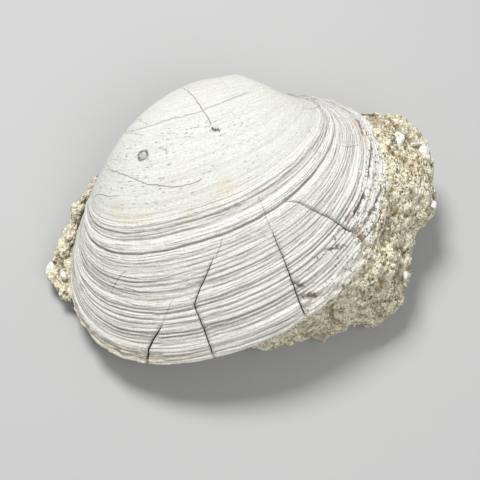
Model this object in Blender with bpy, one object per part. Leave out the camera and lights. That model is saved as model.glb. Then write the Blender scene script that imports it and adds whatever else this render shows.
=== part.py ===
"""A fossil clam: one domed valve on the lump of sandstone that fills it.

The valve follows the growth law of a real shell. Its edge is a flat outline that passes through the beak. Each
older growth line is the same outline, smaller and swung up about the hinge, so that the lines crowd together
towards the beak. Lengths in the tables are in millimetres, and the meshes are in metres.
"""

import math

import bmesh
import bpy
import numpy as np
from mathutils import Vector, noise
from mathutils.bvhtree import BVHTree

MM = 0.001

# Valve outline: distance from the beak to the edge, every 20 degrees from the hind end of the hinge
EDGE_RADII_MM = (0.0, 35.6, 54.0, 66.2, 74.7, 80.8, 83.1, 66.8, 32.4, 0.0)
EDGE_ANGLES = np.radians(np.linspace(0.0, 180.0, len(EDGE_RADII_MM)))

# Growth law, per radian of swing about the hinge
SHRINK_RATE = 0.8165
OUTLINE_DRIFT = (0.21, -0.25, -0.11, -0.06)
OUTLINE_DRIFT_ANGLES = np.radians((0.0, 60.0, 120.0, 180.0))
OUTLINE_DRIFT_END = 1.6
OUTLINE_TURN = -0.3244
HINGE_TURN = 0.0868
TURNING_END = 1.3
HINGE_GROOVE_MM = 3.0
GAP_OUTSIDE_GROOVE_MM = 2.4
GAP_INSIDE_GROOVE_MM = 4.0
BEAK_CURL_START = 2.0
BEAK_CURL_SHRINK = 2.0

# Wall of the valve: the inside is the outside drawn in towards a point under the middle of the dome
DOME_CENTRE_MM = np.array((0.0, -38.0, -2.0))
INSIDE_SCALE = 0.91
GAP_OUTSIDE_SCALE = 1.012
GAP_INSIDE_SCALE = 0.898
FILLING_SCALE = 0.95
FILLING_UP_MM = 0.6
GAP_UNDER_EDGE_MM = 0.4

# How the valve lies, and where its beak is, in the part's frame
LIFT_HIND_END = math.radians(12.4)
LIFT_FRONT = math.radians(2.0)
BEAK_AT_MM = np.array((1.2, 38.0, 16.0))

# Relief of the valve: swing angle of each growth groove and ridge, and its depth or height
GROOVES = (
    (0.375, 0.50), (0.350, 0.60), (0.305, 0.90), (0.260, 0.35), (0.222, 0.40),
    (0.188, 0.40), (0.133, 0.80), (0.113, 0.40), (0.078, 0.45), (0.046, 0.35),
)
RIDGES = ((0.328, 0.35), (0.286, 0.40), (0.152, 0.60), (0.098, 0.25))
GROOVE_HALF_WIDTH = 0.0095
RELIEF_START_MM = 6.0
RELIEF_FADE_MM = 14.0
BARE_ROWS = (0.0, 0.02, 0.42, 0.47, 0.53, 0.61, 0.70, 0.80, 0.92, 1.06, 1.22, 1.40, 1.60, 1.82, 2.06, 2.32, 2.60, 2.90)
VALVE_COLUMNS = 44
INSIDE_ROWS = (0.0, 0.06, 0.14, 0.24, 0.38, 0.56, 0.78, 1.02, 1.28)
GAP_ROWS = (0.0, 0.06, 0.14, 0.24, 0.38, 0.56, 0.78, 1.02, 1.28, 1.6, 2.0, 2.4, 2.8)

# Open cracks, as swing angle and degrees round the edge, from the inner end to the edge, and each one's width
CRACKS = (
    (((0.250, 92.0), (0.195, 96.8), (0.130, 100.2), (0.065, 100.0), (-0.012, 100.4)), 0.8),
    (((0.105, 107.5), (0.060, 110.5), (-0.012, 113.2)), 1.2),
    (((0.260, 77.2), (0.170, 78.5), (0.095, 79.8), (-0.012, 81.8)), 0.9),
    (((0.300, 70.2), (0.225, 65.8), (0.120, 62.8), (0.050, 61.8), (-0.012, 62.4)), 0.9),
)
CRACK_DEPTH_MM = 1.7
CRACK_CLEAR_MM = 0.8

# Worn pits in the old part of the valve: swing angle, degrees, radius and depth
PITS = ((0.710, 108.0, 1.3, 0.7), (0.730, 78.5, 0.8, 0.6), (0.100, 67.2, 1.5, 0.6), (0.040, 78.2, 1.7, 0.7))
PIT_SIDES = 10

# Matrix: outline round the middle, as angle, radius on the ground, radius at its widest and height of that
ROCK_MIDDLE_MM = np.array((-1.8, 2.0))
ROCK_OUTLINE = (
    (-173.0, 33.0, 54.8, 5.0), (-170.0, 32.0, 54.9, 5.0), (-168.0, 32.0, 52.2, 4.6), (-160.0, 31.0, 50.6, 4.0),
    (-153.0, 30.0, 46.5, 4.6), (-137.0, 28.0, 44.5, 6.0), (-120.0, 26.0, 41.5, 8.0), (-104.0, 26.0, 39.5, 10.0),
    (-88.0, 28.0, 39.8, 12.5), (-74.0, 31.0, 41.2, 11.0), (-60.0, 34.0, 42.6, 6.5), (-53.0, 36.0, 45.3, 6.5),
    (-47.0, 38.0, 50.0, 6.5), (-43.0, 39.0, 51.2, 8.0), (-37.0, 40.0, 52.0, 9.0), (-26.0, 40.0, 51.7, 11.0),
    (-22.0, 40.0, 50.7, 12.0), (-16.0, 40.0, 51.2, 13.0), (-10.0, 41.0, 53.3, 13.5), (-5.0, 41.0, 56.9, 14.0),
    (0.0, 41.0, 56.7, 15.0), (6.0, 40.0, 57.4, 16.0), (11.0, 39.0, 58.0, 17.0), (16.0, 38.0, 58.0, 18.0),
    (21.0, 37.0, 56.2, 19.0), (25.0, 36.0, 52.2, 20.0), (30.0, 34.0, 45.7, 21.5), (42.0, 32.0, 39.0, 15.0),
    (60.0, 30.0, 35.5, 11.0), (90.0, 28.0, 33.5, 9.0), (120.0, 29.0, 33.0, 9.0), (140.0, 30.0, 37.0, 9.5),
    (153.0, 31.0, 42.5, 10.0), (162.0, 32.0, 44.2, 9.0), (171.0, 33.0, 46.0, 8.0), (177.0, 33.0, 48.7, 7.0),
    (-175.0, 33.0, 52.4, 6.0),
)
ROCK_COLUMNS = 108
WALL_STEPS = ((0.55, 0.30), (0.88, 0.65), (1.0, 1.0))
SHOULDER_STEPS = (0.33, 0.66)
SHOULDER_BULGE_MM = 1.0
LIP_OUT_MM = 0.3
LIP_UP_MM = 0.8
LIP_IN_MM = 0.6
LIP_DOWN_MM = 1.5
LIP_RISE_MM = 1.5
UNDER_EDGE_IN_MM = 3.6
CORE_FRACTION = 0.5
CORE_UP_MM = 1.9
ROUGHNESS_MM = ((9.0, 1.3), (4.0, 0.7))

# Shell fragments set in the matrix: place seen from above, length, width, thickness, turn and tilt in degrees
CHIPS = {
    "chip_top": ((47.2, 15.7), (4.2, 3.4, 1.3), 60.0, 20.0),
    "chip_corner": ((52.4, 10.7), (4.6, 3.6, 1.3), -40.0, 30.0),
    "sliver_corner": ((50.4, 13.7), (3.4, 0.9, 1.2), 5.0, 15.0),
    "chip_right": ((52.6, -4.1), (5.2, 2.2, 1.4), 85.0, 60.0),
    "chip_low_right": ((43.4, -19.1), (3.2, 1.6, 1.3), 65.0, 50.0),
    "chip_left_tip": ((-54.5, -3.8), (3.6, 2.6, 1.6), 50.0, -25.0),
    "chip_left": ((-50.8, -7.8), (2.6, 2.3, 1.2), -30.0, -30.0),
}
CHIP_CORNERS = 6
CHIP_GAP_MM = 0.3
CHIP_SUNK_MM = 0.35

# Brown shell plate that pokes out under the valve's edge at the front right
PLATE_CORNERS_MM = ((12.9, -33.9), (17.0, -37.5), (19.0, -35.8), (17.4, -31.4), (11.9, -30.9))
PLATE_HEIGHT_MM = 6.2
PLATE_THICKNESS_MM = 1.3

CHALK = (0.86, 0.84, 0.78, 1.0)
SAND = (0.55, 0.49, 0.34, 1.0)
BROWN = (0.42, 0.34, 0.24, 1.0)


def natural_spline(knots, values, x):
    """Smooth curve through the values, with straight ends."""
    knots = np.asarray(knots, float)
    values = np.asarray(values, float)
    steps = np.diff(knots)
    matrix = np.eye(len(knots))
    right = np.zeros(len(knots))
    for i in range(1, len(knots) - 1):
        matrix[i, i - 1:i + 2] = steps[i - 1], 2.0 * (steps[i - 1] + steps[i]), steps[i]
        slopes = (values[i + 1] - values[i]) / steps[i] - (values[i] - values[i - 1]) / steps[i - 1]
        right[i] = 6.0 * slopes
    bend = np.linalg.solve(matrix, right)
    i = np.clip(np.searchsorted(knots, x) - 1, 0, len(knots) - 2)
    after = x - knots[i]
    before = knots[i + 1] - x
    cubic = (bend[i] * before ** 3 + bend[i + 1] * after ** 3) / (6.0 * steps[i])
    low = (values[i] / steps[i] - bend[i] * steps[i] / 6.0) * before
    high = (values[i + 1] / steps[i] - bend[i + 1] * steps[i] / 6.0) * after
    return cubic + low + high


def growth_point(swing, angle, groove=HINGE_GROOVE_MM):
    """Points of the valve's outside, in the shell's own frame, in millimetres."""
    radius = natural_spline(EDGE_ANGLES, EDGE_RADII_MM, angle)
    drift = natural_spline(OUTLINE_DRIFT_ANGLES, OUTLINE_DRIFT, angle)
    curl = np.clip((swing - BEAK_CURL_START) / (math.pi - BEAK_CURL_START), 0.0, None)
    size = np.exp(-SHRINK_RATE * swing - BEAK_CURL_SHRINK * curl ** 2)
    radius = radius * (1.0 + np.clip(swing, 0.0, OUTLINE_DRIFT_END) * drift) * size
    flat_angle = OUTLINE_TURN * np.clip(swing, 0.0, TURNING_END) - angle - HINGE_TURN
    along = radius * np.cos(flat_angle)
    across = np.minimum(radius * np.sin(flat_angle), -groove * size)
    up = -across * np.sin(swing)
    across = across * np.cos(swing)
    return np.stack([
        along * math.cos(HINGE_TURN) - across * math.sin(HINGE_TURN),
        along * math.sin(HINGE_TURN) + across * math.cos(HINGE_TURN),
        up,
    ], axis=-1)


def outward(swing, angle):
    """Unit normals of the valve's outside."""
    step = 1.0e-3
    along = growth_point(swing, angle + step) - growth_point(swing, angle - step)
    up = growth_point(swing + step, angle) - growth_point(swing - step, angle)
    normal = np.cross(along, up)
    normal /= np.linalg.norm(normal, axis=-1, keepdims=True) + 1.0e-9
    facing = np.sum((growth_point(swing, angle) - DOME_CENTRE_MM) * normal, axis=-1, keepdims=True)
    return normal * np.sign(facing)


def drawn_in(points, scale):
    return DOME_CENTRE_MM + (points - DOME_CENTRE_MM) * scale


def laid_down(points):
    """From the shell's own frame to the part's frame, still in millimetres."""
    x, y, z = points[..., 0], points[..., 1], points[..., 2]
    cos_hind, sin_hind = math.cos(LIFT_HIND_END), math.sin(LIFT_HIND_END)
    x, z = x * cos_hind - z * sin_hind, x * sin_hind + z * cos_hind
    cos_front, sin_front = math.cos(LIFT_FRONT), math.sin(LIFT_FRONT)
    y, z = y * cos_front + z * sin_front, z * cos_front - y * sin_front
    return np.stack([x, y, z], axis=-1) + BEAK_AT_MM


def relief(swing, points):
    """Height of the growth ridges and depth of the grooves, in millimetres. They fade out by the hinge."""
    height = np.zeros_like(swing)
    for at, depth in GROOVES:
        height -= depth * np.clip(1.0 - np.abs(swing - at) / GROOVE_HALF_WIDTH, 0.0, None)
    for at, rise in RIDGES:
        height += rise * np.clip(1.0 - np.abs(swing - at) / (2.0 * GROOVE_HALF_WIDTH), 0.0, None)
    hinge = np.array((math.cos(HINGE_TURN), math.sin(HINGE_TURN), 0.0))
    from_hinge = np.linalg.norm(np.cross(points, hinge), axis=-1)
    return height * np.clip((from_hinge - RELIEF_START_MM) / RELIEF_FADE_MM, 0.0, 1.0)


def relief_rows():
    """Swing angles of the rows of vertices: three to a groove, one to a ridge and the bare ones."""
    rows = list(BARE_ROWS)
    for at, _ in GROOVES:
        rows += [at - GROOVE_HALF_WIDTH, at, at + GROOVE_HALF_WIDTH]
    for at, _ in RIDGES:
        rows.append(at)
    rows.sort()
    kept = [rows[0]]
    for row in rows[1:]:
        if row - kept[-1] > 0.35 * GROOVE_HALF_WIDTH:
            kept.append(row)
    return np.array(kept)


def add_sheet(mesh, swings, scale, groove=HINGE_GROOVE_MM, rise=None, raised=0.0, edge_drop=0.0):
    """One skin of the valve: closed loops of vertices from the edge in, and a cap on the last one."""
    angles = math.pi * (np.arange(VALVE_COLUMNS) + 0.5) / VALVE_COLUMNS
    swing, angle = np.meshgrid(swings, angles, indexing="ij")
    points = growth_point(swing, angle, groove)
    if rise is not None:
        points = points + outward(swing, angle) * rise(swing, points)[..., None]
    points = drawn_in(points, scale) + np.array((0.0, 0.0, raised))
    points[0, :, 2] -= edge_drop
    rows = [[mesh.verts.new(point) for point in row] for row in laid_down(points) * MM]
    for lower, upper in zip(rows, rows[1:]):
        join_loops(mesh, lower, upper)
    mesh.faces.new(rows[-1])
    return rows[0]


def join_loops(mesh, lower, upper):
    count = len(lower)
    for j in range(count):
        k = (j + 1) % count
        mesh.faces.new((lower[j], lower[k], upper[k], upper[j]))


def shell_body(name):
    """The valve: a closed wall between its outer and inner skins, joined round the edge."""
    mesh = bmesh.new()
    outer = add_sheet(mesh, relief_rows(), 1.0, rise=relief)
    inner = add_sheet(mesh, INSIDE_ROWS, INSIDE_SCALE)
    join_loops(mesh, outer, inner)
    return finished(name, mesh)


def gap_body(name):
    """The valve without relief and a little thicker all round, to clear the matrix round it."""
    mesh = bmesh.new()
    outer = add_sheet(mesh, GAP_ROWS, GAP_OUTSIDE_SCALE, GAP_OUTSIDE_GROOVE_MM, edge_drop=GAP_UNDER_EDGE_MM)
    inner = add_sheet(mesh, INSIDE_ROWS, GAP_INSIDE_SCALE, GAP_INSIDE_GROOVE_MM, edge_drop=GAP_UNDER_EDGE_MM)
    join_loops(mesh, outer, inner)
    return finished(name, mesh)


def filling_body(name):
    """The bowl of the valve filled to its edge, cut smaller than the valve."""
    mesh = bmesh.new()
    edge = add_sheet(mesh, INSIDE_ROWS, FILLING_SCALE, raised=FILLING_UP_MM)
    mesh.faces.new(edge)
    return finished(name, mesh)


def finished(name, mesh):
    """A mesh object with its faces pointing out."""
    bmesh.ops.recalc_face_normals(mesh, faces=mesh.faces)
    data = bpy.data.meshes.new(name)
    mesh.to_mesh(data)
    mesh.free()
    return bpy.data.objects.new(name, data)


def edge_round_middle(angles):
    """Distance and height of the valve's edge at each direction from the middle of the matrix."""
    edge = laid_down(growth_point(np.zeros(721), np.radians(np.linspace(0.0, 180.0, 721))))
    offset = edge[:, :2] - ROCK_MIDDLE_MM
    direction = np.arctan2(offset[:, 1], offset[:, 0])
    order = np.argsort(direction)
    radius = np.hypot(offset[:, 0], offset[:, 1])[order]
    full_turn = 2.0 * math.pi
    return (
        np.interp(angles, direction[order], radius, period=full_turn),
        np.interp(angles, direction[order], edge[order, 2], period=full_turn),
    )


def lumps(x, y, z):
    """Two sizes of lumps on the matrix, in millimetres."""
    rise = np.zeros(len(x))
    for size, height in ROUGHNESS_MM:
        rise += [height * noise.noise(Vector(place) / size) for place in zip(x, y, z)]
    return rise


def rock_lump(name):
    """The lump of matrix as rings, from the flat spot up to the valve's edge and in under the dome."""
    angles = np.linspace(-math.pi, math.pi, ROCK_COLUMNS, endpoint=False)
    table = np.array(ROCK_OUTLINE)
    full_turn = 2.0 * math.pi
    ground, wide, wide_height = (
        np.interp(angles, np.radians(table[:, 0]), table[:, column], period=full_turn) for column in (1, 2, 3)
    )
    across = np.cos(angles)
    back = np.sin(angles)
    edge, edge_height = edge_round_middle(angles)
    stands_out = wide > edge
    lip = np.where(stands_out, edge + LIP_OUT_MM, wide - LIP_IN_MM)
    lip_height = np.where(
        stands_out, edge_height + LIP_UP_MM, np.maximum(edge_height - LIP_DOWN_MM, wide_height + LIP_RISE_MM)
    )
    rings = [(ground, 0.0 * angles)]
    for out, up in WALL_STEPS:
        radius = ground + out * (wide - ground)
        height = up * wide_height
        rings.append((radius + up * lumps(radius * across, radius * back, height), height))
    wall_top = rings[-1][0]
    for step in SHOULDER_STEPS:
        radius = wall_top + step * (lip - wall_top)
        height = wide_height + step * (lip_height - wide_height)
        bulge = stands_out * (SHOULDER_BULGE_MM + lumps(radius * across, radius * back, height))
        rings.append((radius, height + bulge))
    rings.append((lip, lip_height))
    rings.append((lip - UNDER_EDGE_IN_MM, edge_height + CORE_UP_MM))
    rings.append((edge * CORE_FRACTION, edge_height + CORE_UP_MM))
    mesh = bmesh.new()
    loops = []
    for radius, height in rings:
        x = ROCK_MIDDLE_MM[0] + radius * across
        y = ROCK_MIDDLE_MM[1] + radius * back
        loops.append([mesh.verts.new(point) for point in np.stack([x, y, height], axis=-1) * MM])
    mesh.faces.new(loops[0])
    mesh.faces.new(loops[-1])
    for lower, upper in zip(loops, loops[1:]):
        join_loops(mesh, lower, upper)
    return finished(name, mesh)


def crack_wedge(name, path, width):
    """A wedge that runs along a crack, open above the valve's outside and sharp inside its wall."""
    mesh = bmesh.new()
    swings = np.array([swing for swing, _ in path])
    degrees = np.array([degree for _, degree in path])
    along = np.linspace(0.0, 1.0, 9)
    swing = np.interp(along, np.linspace(0.0, 1.0, len(path)), swings)
    angle = np.radians(np.interp(along, np.linspace(0.0, 1.0, len(path)), degrees))
    centre = growth_point(swing, angle)
    up = outward(swing, angle)
    forward = np.gradient(centre, axis=0)
    side = np.cross(forward, up)
    side /= np.linalg.norm(side, axis=-1, keepdims=True)
    open_width = width * (0.3 + 0.7 * along)[:, None]
    top = CRACK_CLEAR_MM * up
    rings = []
    for left, right, bottom in zip(
        laid_down(centre + top + open_width * side),
        laid_down(centre + top - open_width * side),
        laid_down(centre - CRACK_DEPTH_MM * up),
    ):
        rings.append([mesh.verts.new(point * MM) for point in (left, right, bottom)])
    for first, second in zip(rings, rings[1:]):
        join_loops(mesh, first, second)
    mesh.faces.new(rings[0])
    mesh.faces.new(rings[-1])
    return finished(name, mesh)


def pit_cutter(name, swing, degrees, radius, depth):
    """A blunt cone that sinks a pit into the valve's outside."""
    mesh = bmesh.new()
    swing = np.array(swing)
    angle = np.radians(degrees)
    normal = outward(swing, angle)
    place = laid_down(growth_point(swing, angle)) * MM
    normal = laid_down(normal) - laid_down(np.zeros(3))
    bmesh.ops.create_cone(
        mesh, cap_ends=True, segments=PIT_SIDES, radius1=0.4 * radius * MM, radius2=1.6 * radius * MM,
        depth=2.0 * depth * MM,
    )
    cutter = finished(name, mesh)
    cutter.rotation_mode = "QUATERNION"
    cutter.rotation_quaternion = Vector(normal).to_track_quat("Z", "Y")
    cutter.location = place
    return cutter


def chip_body(name, surface, place, size, turn, tilt, grow):
    """A flat six-cornered flake of shell, half sunk in the matrix's surface."""
    mesh = bmesh.new()
    bmesh.ops.create_cone(mesh, cap_ends=True, segments=CHIP_CORNERS, radius1=0.5, radius2=0.42, depth=1.0)
    length, width, thick = (side + 2.0 * grow for side in size)
    for vertex in mesh.verts:
        uneven = 1.0 + 0.22 * math.sin(5.0 * math.atan2(vertex.co.y, vertex.co.x) + place[0])
        vertex.co = Vector((length * uneven * vertex.co.x, width * uneven * vertex.co.y, thick * vertex.co.z))
        vertex.co *= MM
    body = finished(name, mesh)
    above = Vector((place[0] * MM, place[1] * MM, 0.1))
    hit, normal, _, _ = surface.ray_cast(above, Vector((0.0, 0.0, -1.0)))
    body.location = hit - CHIP_SUNK_MM * MM * normal
    body.rotation_euler = (math.radians(tilt) * 0.4, math.radians(tilt), math.radians(turn))
    return body


def plate_body(name, grow):
    """The brown plate: a flat five-cornered piece, level under the valve's edge."""
    mesh = bmesh.new()
    middle = np.mean(PLATE_CORNERS_MM, axis=0)
    thick = PLATE_THICKNESS_MM + 2.0 * grow
    loops = []
    for height in (-0.5 * thick, 0.5 * thick):
        loop = []
        for corner in PLATE_CORNERS_MM:
            out = np.array(corner) - middle
            x, y = middle + out * (1.0 + grow / np.linalg.norm(out) * 1.4)
            loop.append(mesh.verts.new(np.array((x, y, PLATE_HEIGHT_MM + height)) * MM))
        loops.append(loop)
    mesh.faces.new(loops[0])
    mesh.faces.new(loops[1])
    join_loops(mesh, loops[0], loops[1])
    return finished(name, mesh)


def cut(body, cutter, operation="DIFFERENCE", solver="EXACT"):
    modifier = body.modifiers.new(cutter.name, "BOOLEAN")
    modifier.operation = operation
    modifier.object = cutter
    modifier.solver = solver


def surface_of(body):
    """The evaluated surface of a body, to set fragments on."""
    bpy.context.view_layer.update()
    return BVHTree.FromObject(body, bpy.context.evaluated_depsgraph_get())


def finish_material(name, colour, roughness):
    material = bpy.data.materials.new(name)
    material.use_nodes = True
    shader = material.node_tree.nodes["Principled BSDF"]
    shader.inputs["Base Color"].default_value = colour
    shader.inputs["Roughness"].default_value = roughness
    shader.inputs["Metallic"].default_value = 0.0
    return material


def collection(name):
    group = bpy.data.collections.new(name)
    bpy.context.scene.collection.children.link(group)
    return group


def add_cutter(group, body):
    body.hide_render = True
    body.display_type = "WIRE"
    group.objects.link(body)
    return body


def add_part(group, body, material):
    body.data.materials.append(material)
    group.objects.link(body)
    return body


def build():
    for leftover in list(bpy.data.objects):
        bpy.data.objects.remove(leftover)
    parts = collection("fossil_clam")
    cutters = collection("cutters")
    chalk = finish_material("chalky shell", CHALK, 0.75)
    sand = finish_material("sandstone", SAND, 0.95)
    brown = finish_material("brown shell", BROWN, 0.70)

    valve = add_part(parts, shell_body("valve"), chalk)
    for number, (path, width) in enumerate(CRACKS):
        cut(valve, add_cutter(cutters, crack_wedge(f"crack_{number}", path, width)))
    for number, pit in enumerate(PITS):
        cut(valve, add_cutter(cutters, pit_cutter(f"pit_{number}", *pit)))

    matrix = add_part(parts, rock_lump("matrix"), sand)
    cut(matrix, add_cutter(cutters, filling_body("filling")), "UNION", "MANIFOLD")
    cut(matrix, add_cutter(cutters, gap_body("valve_space")), "DIFFERENCE", "MANIFOLD")
    surface = surface_of(matrix)
    for name, (place, size, turn, tilt) in CHIPS.items():
        add_part(parts, chip_body(name, surface, place, size, turn, tilt, 0.0), chalk)
        pocket = chip_body(f"{name}_pocket", surface, place, size, turn, tilt, CHIP_GAP_MM)
        cut(matrix, add_cutter(cutters, pocket), "DIFFERENCE", "MANIFOLD")
    add_part(parts, plate_body("edge_plate", 0.0), brown)
    cut(matrix, add_cutter(cutters, plate_body("edge_plate_pocket", CHIP_GAP_MM)), "DIFFERENCE", "MANIFOLD")


build()
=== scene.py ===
"""A fossil clam on its lump of sandstone. The valve follows the growth law of a real shell."""

import math

import bpy
import numpy as np
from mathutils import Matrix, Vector, noise


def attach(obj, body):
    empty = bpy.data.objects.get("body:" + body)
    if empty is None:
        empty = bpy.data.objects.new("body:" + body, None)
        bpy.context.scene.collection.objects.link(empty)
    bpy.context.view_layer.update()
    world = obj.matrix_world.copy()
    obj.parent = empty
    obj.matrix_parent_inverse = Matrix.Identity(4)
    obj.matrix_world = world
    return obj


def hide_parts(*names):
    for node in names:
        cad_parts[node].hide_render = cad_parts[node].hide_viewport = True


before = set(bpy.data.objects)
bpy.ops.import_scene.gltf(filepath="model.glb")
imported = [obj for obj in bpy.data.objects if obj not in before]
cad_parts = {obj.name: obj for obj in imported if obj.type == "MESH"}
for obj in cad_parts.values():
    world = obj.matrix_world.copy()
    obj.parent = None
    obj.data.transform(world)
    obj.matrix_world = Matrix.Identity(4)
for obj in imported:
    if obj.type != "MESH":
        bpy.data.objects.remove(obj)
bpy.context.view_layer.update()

bl_info = {
    "name": "Fossil clam",
    "version": (1, 0, 0),
    "blender": (4, 5, 0),
    "location": "View3D > Sidebar > Fossil clam",
    "description": "Models a fossil clam valve on its sandstone",
    "category": "Object",
}

MM = 0.001
FULL_TURN = 2.0 * math.pi

# A place on the valve is given by its swing about the hinge, 0 at the edge and growing towards the beak, and
# by its degrees round the beak, 0 at the hind end of the hinge and 180 at the front. Lengths here are in
# millimetres

# Valve outline: distance from the beak every 20 degrees
EDGE_RADII = (0.0, 35.6, 54.0, 66.2, 74.7, 80.8, 83.1, 66.8, 32.4, 0.0)
EDGE_ANGLES = np.radians(np.linspace(0.0, 180.0, len(EDGE_RADII)))
SHRINK_RATE = 0.8165
OUTLINE_DRIFT = (0.21, -0.25, -0.11, -0.06)
OUTLINE_DRIFT_ANGLES = np.radians((0.0, 60.0, 120.0, 180.0))
OUTLINE_DRIFT_END = 1.6
OUTLINE_TURN = -0.3244
HINGE_TURN = 0.0868
TURNING_END = 1.3
HINGE_GROOVE = 3.0
BEAK_CURL_START = 2.0
BEAK_CURL_SHRINK = 2.0
DOME_CENTRE = np.array((0.0, -38.0, -2.0))
LIFT_HIND_END = math.radians(12.4)
LIFT_FRONT = math.radians(2.0)
BEAK_AT = np.array((1.2, 38.0, 16.0))

# Swing at the beak and where the young, ridged part starts for the rows of the mesh
BEAK_SWING = 2.9
YOUNG_SWING = 0.42

# Growth steps: swing, drop, and how far the drop fades out towards the edge
GROWTH_STEPS = (
    (0.920, 0.08, 1.2), (0.640, 0.08, 1.0), (0.540, 0.10, 1.2), (0.470, 0.14, 1.2), (0.432, 0.16, 1.0),
    (0.412, 0.26, 0.9), (0.392, 0.30, 0.7), (0.375, 0.60, 0.8), (0.361, 0.25, 0.5), (0.350, 0.55, 0.9),
    (0.305, 0.95, 1.2), (0.272, 0.16, 0.7), (0.258, 0.26, 0.7), (0.245, 0.22, 0.7), (0.230, 0.16, 0.5),
    (0.219, 0.34, 0.6), (0.205, 0.24, 0.5), (0.190, 0.36, 0.6), (0.183, 0.28, 0.5), (0.170, 0.30, 0.6),
    (0.144, 0.40, 0.6), (0.134, 0.62, 0.8), (0.117, 0.46, 0.6), (0.103, 0.30, 0.5), (0.094, 0.28, 0.5),
    (0.080, 0.44, 0.6), (0.070, 0.40, 0.5), (0.061, 0.26, 0.5), (0.052, 0.28, 0.5), (0.025, 0.32, 0.5),
    (0.013, 0.32, 0.5),
)

# Rounded growth ridges: swing, height and half width
GROWTH_RIDGES = (
    (0.403, 0.12, 0.6), (0.331, 0.24, 0.9), (0.286, 0.12, 0.6), (0.238, 0.08, 0.5), (0.156, 0.30, 0.8),
    (0.125, 0.12, 0.5), (0.110, 0.14, 0.4), (0.088, 0.12, 0.4), (0.038, 0.26, 0.8),
)

# Between the cracks the growth lines are shifted: degrees where that changes, and the shift in swing
SECTOR_ENDS = (62.5, 79.5, 99.5, 109.0)
SECTOR_SHIFTS = (0.0030, -0.0022, 0.0, -0.0024, 0.0016)

# Where the growth lines are snagged beside a crack: swing and degrees
SNAGS = ((0.190, 100.5), (0.215, 98.8))

# Half the width of a growth step's edge
STEP_EDGE = 0.14

# Thin growth layers: spacing in swing, and as shares of that where the notch between two is and how wide
WIDE_LAYER = 0.0134
THIN_LAYER = 0.0088
LEDGE_LAYER = 0.026
NOTCH_AT = 0.07
NOTCH_HALF = 0.13

# Sizes of the waves of noise in the valve's surface
ROUGH = 0.9
FINE = 1.3
GRIT = 2.2
FLAWS = 3.1
BROAD = 16.0

# How far up from the edge the outer layer has peeled off by the hind edge, as swing
PEELED_TO = 0.118

# How many threads of growth one unit of swing holds
THREADS = 88.0

# Cracks that open at the edge: swing and degrees along each, the swing where it ends, and half its width at
# the edge and at that end. Each follows one column of the mesh
CRACKS = (
    (((-0.02, 112.9), (0.010, 112.5), (0.035, 111.8), (0.060, 110.5), (0.085, 108.8), (0.105, 107.5),
      (0.150, 105.6), (0.30, 105.0)), 0.112, 0.44, 0.10),
    (((-0.02, 100.2), (0.070, 100.1), (0.125, 100.4), (0.138, 100.3), (0.150, 99.7), (0.170, 98.5),
      (0.205, 96.0), (0.225, 94.5), (0.255, 92.3), (0.35, 91.0)), 0.255, 0.20, 0.07),
    (((-0.02, 81.9), (0.0, 81.5), (0.045, 80.8), (0.095, 79.8), (0.110, 79.5), (0.170, 78.5), (0.210, 78.0),
      (0.260, 77.2), (0.50, 77.0)), 0.255, 0.24, 0.08),
    (((-0.02, 62.6), (0.0, 62.5), (0.015, 62.0), (0.050, 61.8), (0.080, 62.0), (0.120, 62.8), (0.170, 63.8),
      (0.225, 65.8), (0.265, 67.0), (0.300, 70.2), (0.45, 71.0)), 0.305, 0.40, 0.10),
)

# Columns beside the one that a crack follows, and how deep each lies
CRACK_DEPTHS = ((0, 1.9), (-1, 1.5), (1, 1.5))

# Width of a crack's lip, how far round it the columns are drawn to it, how ragged it is, and the swings
# between which the columns become even again
CRACK_LIP = 0.10
CRACK_ROOM = 1.3
CRACK_RAGGED = 0.11
EVEN_AGAIN = (0.34, 0.60)

# Hairlines that stay shut: swing and degrees along each, half its width and how dark it is
HAIRLINES = (
    (((0.745, 78.8), (0.785, 79.0), (0.845, 79.8), (0.930, 81.0), (1.025, 82.5), (1.125, 85.0), (1.260, 89.2),
      (1.440, 97.0), (1.545, 105.0)), 0.055, 0.70),
    (((0.925, 124.0), (0.905, 111.5), (0.910, 101.2), (0.890, 82.5), (0.905, 69.2), (0.930, 50.0)),
     0.050, 0.50),
    (((0.640, 124.5), (0.630, 118.0), (0.615, 115.0), (0.590, 110.8), (0.560, 107.0), (0.535, 101.8),
      (0.515, 98.5), (0.505, 94.8), (0.505, 92.2), (0.512, 88.5)), 0.055, 0.60),
    (((0.430, 131.2), (0.465, 128.8), (0.485, 126.8), (0.505, 123.2), (0.505, 120.0), (0.515, 115.5)),
     0.055, 0.50),
    (((1.075, 123.5), (1.040, 116.2), (0.975, 111.5), (0.930, 108.0)), 0.045, 0.42),
    (((0.920, 124.6), (0.890, 115.2), (0.835, 108.0)), 0.045, 0.42),
    (((0.185, 14.3), (0.32, 22.0), (0.535, 34.0)), 0.08, 0.50),
    (((0.190, 117.8), (0.205, 118.5), (0.220, 119.8), (0.245, 120.5), (0.270, 122.0)), 0.06, 0.40),
    (((0.170, 118.6), (0.190, 117.8), (0.215, 116.5), (0.235, 115.2), (0.250, 113.8)), 0.07, 0.55),
    (((0.16, 38.3), (0.25, 42.4)), 0.08, 0.50),
    (((0.105, 107.5), (0.130, 106.2), (0.155, 104.8), (0.170, 103.8)), 0.07, 0.42),
    (((0.240, 92.8), (0.265, 91.0), (0.290, 89.2)), 0.07, 0.42),
    (((0.245, 77.5), (0.290, 77.0), (0.330, 76.2), (0.370, 75.8)), 0.06, 0.38),
)

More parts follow.
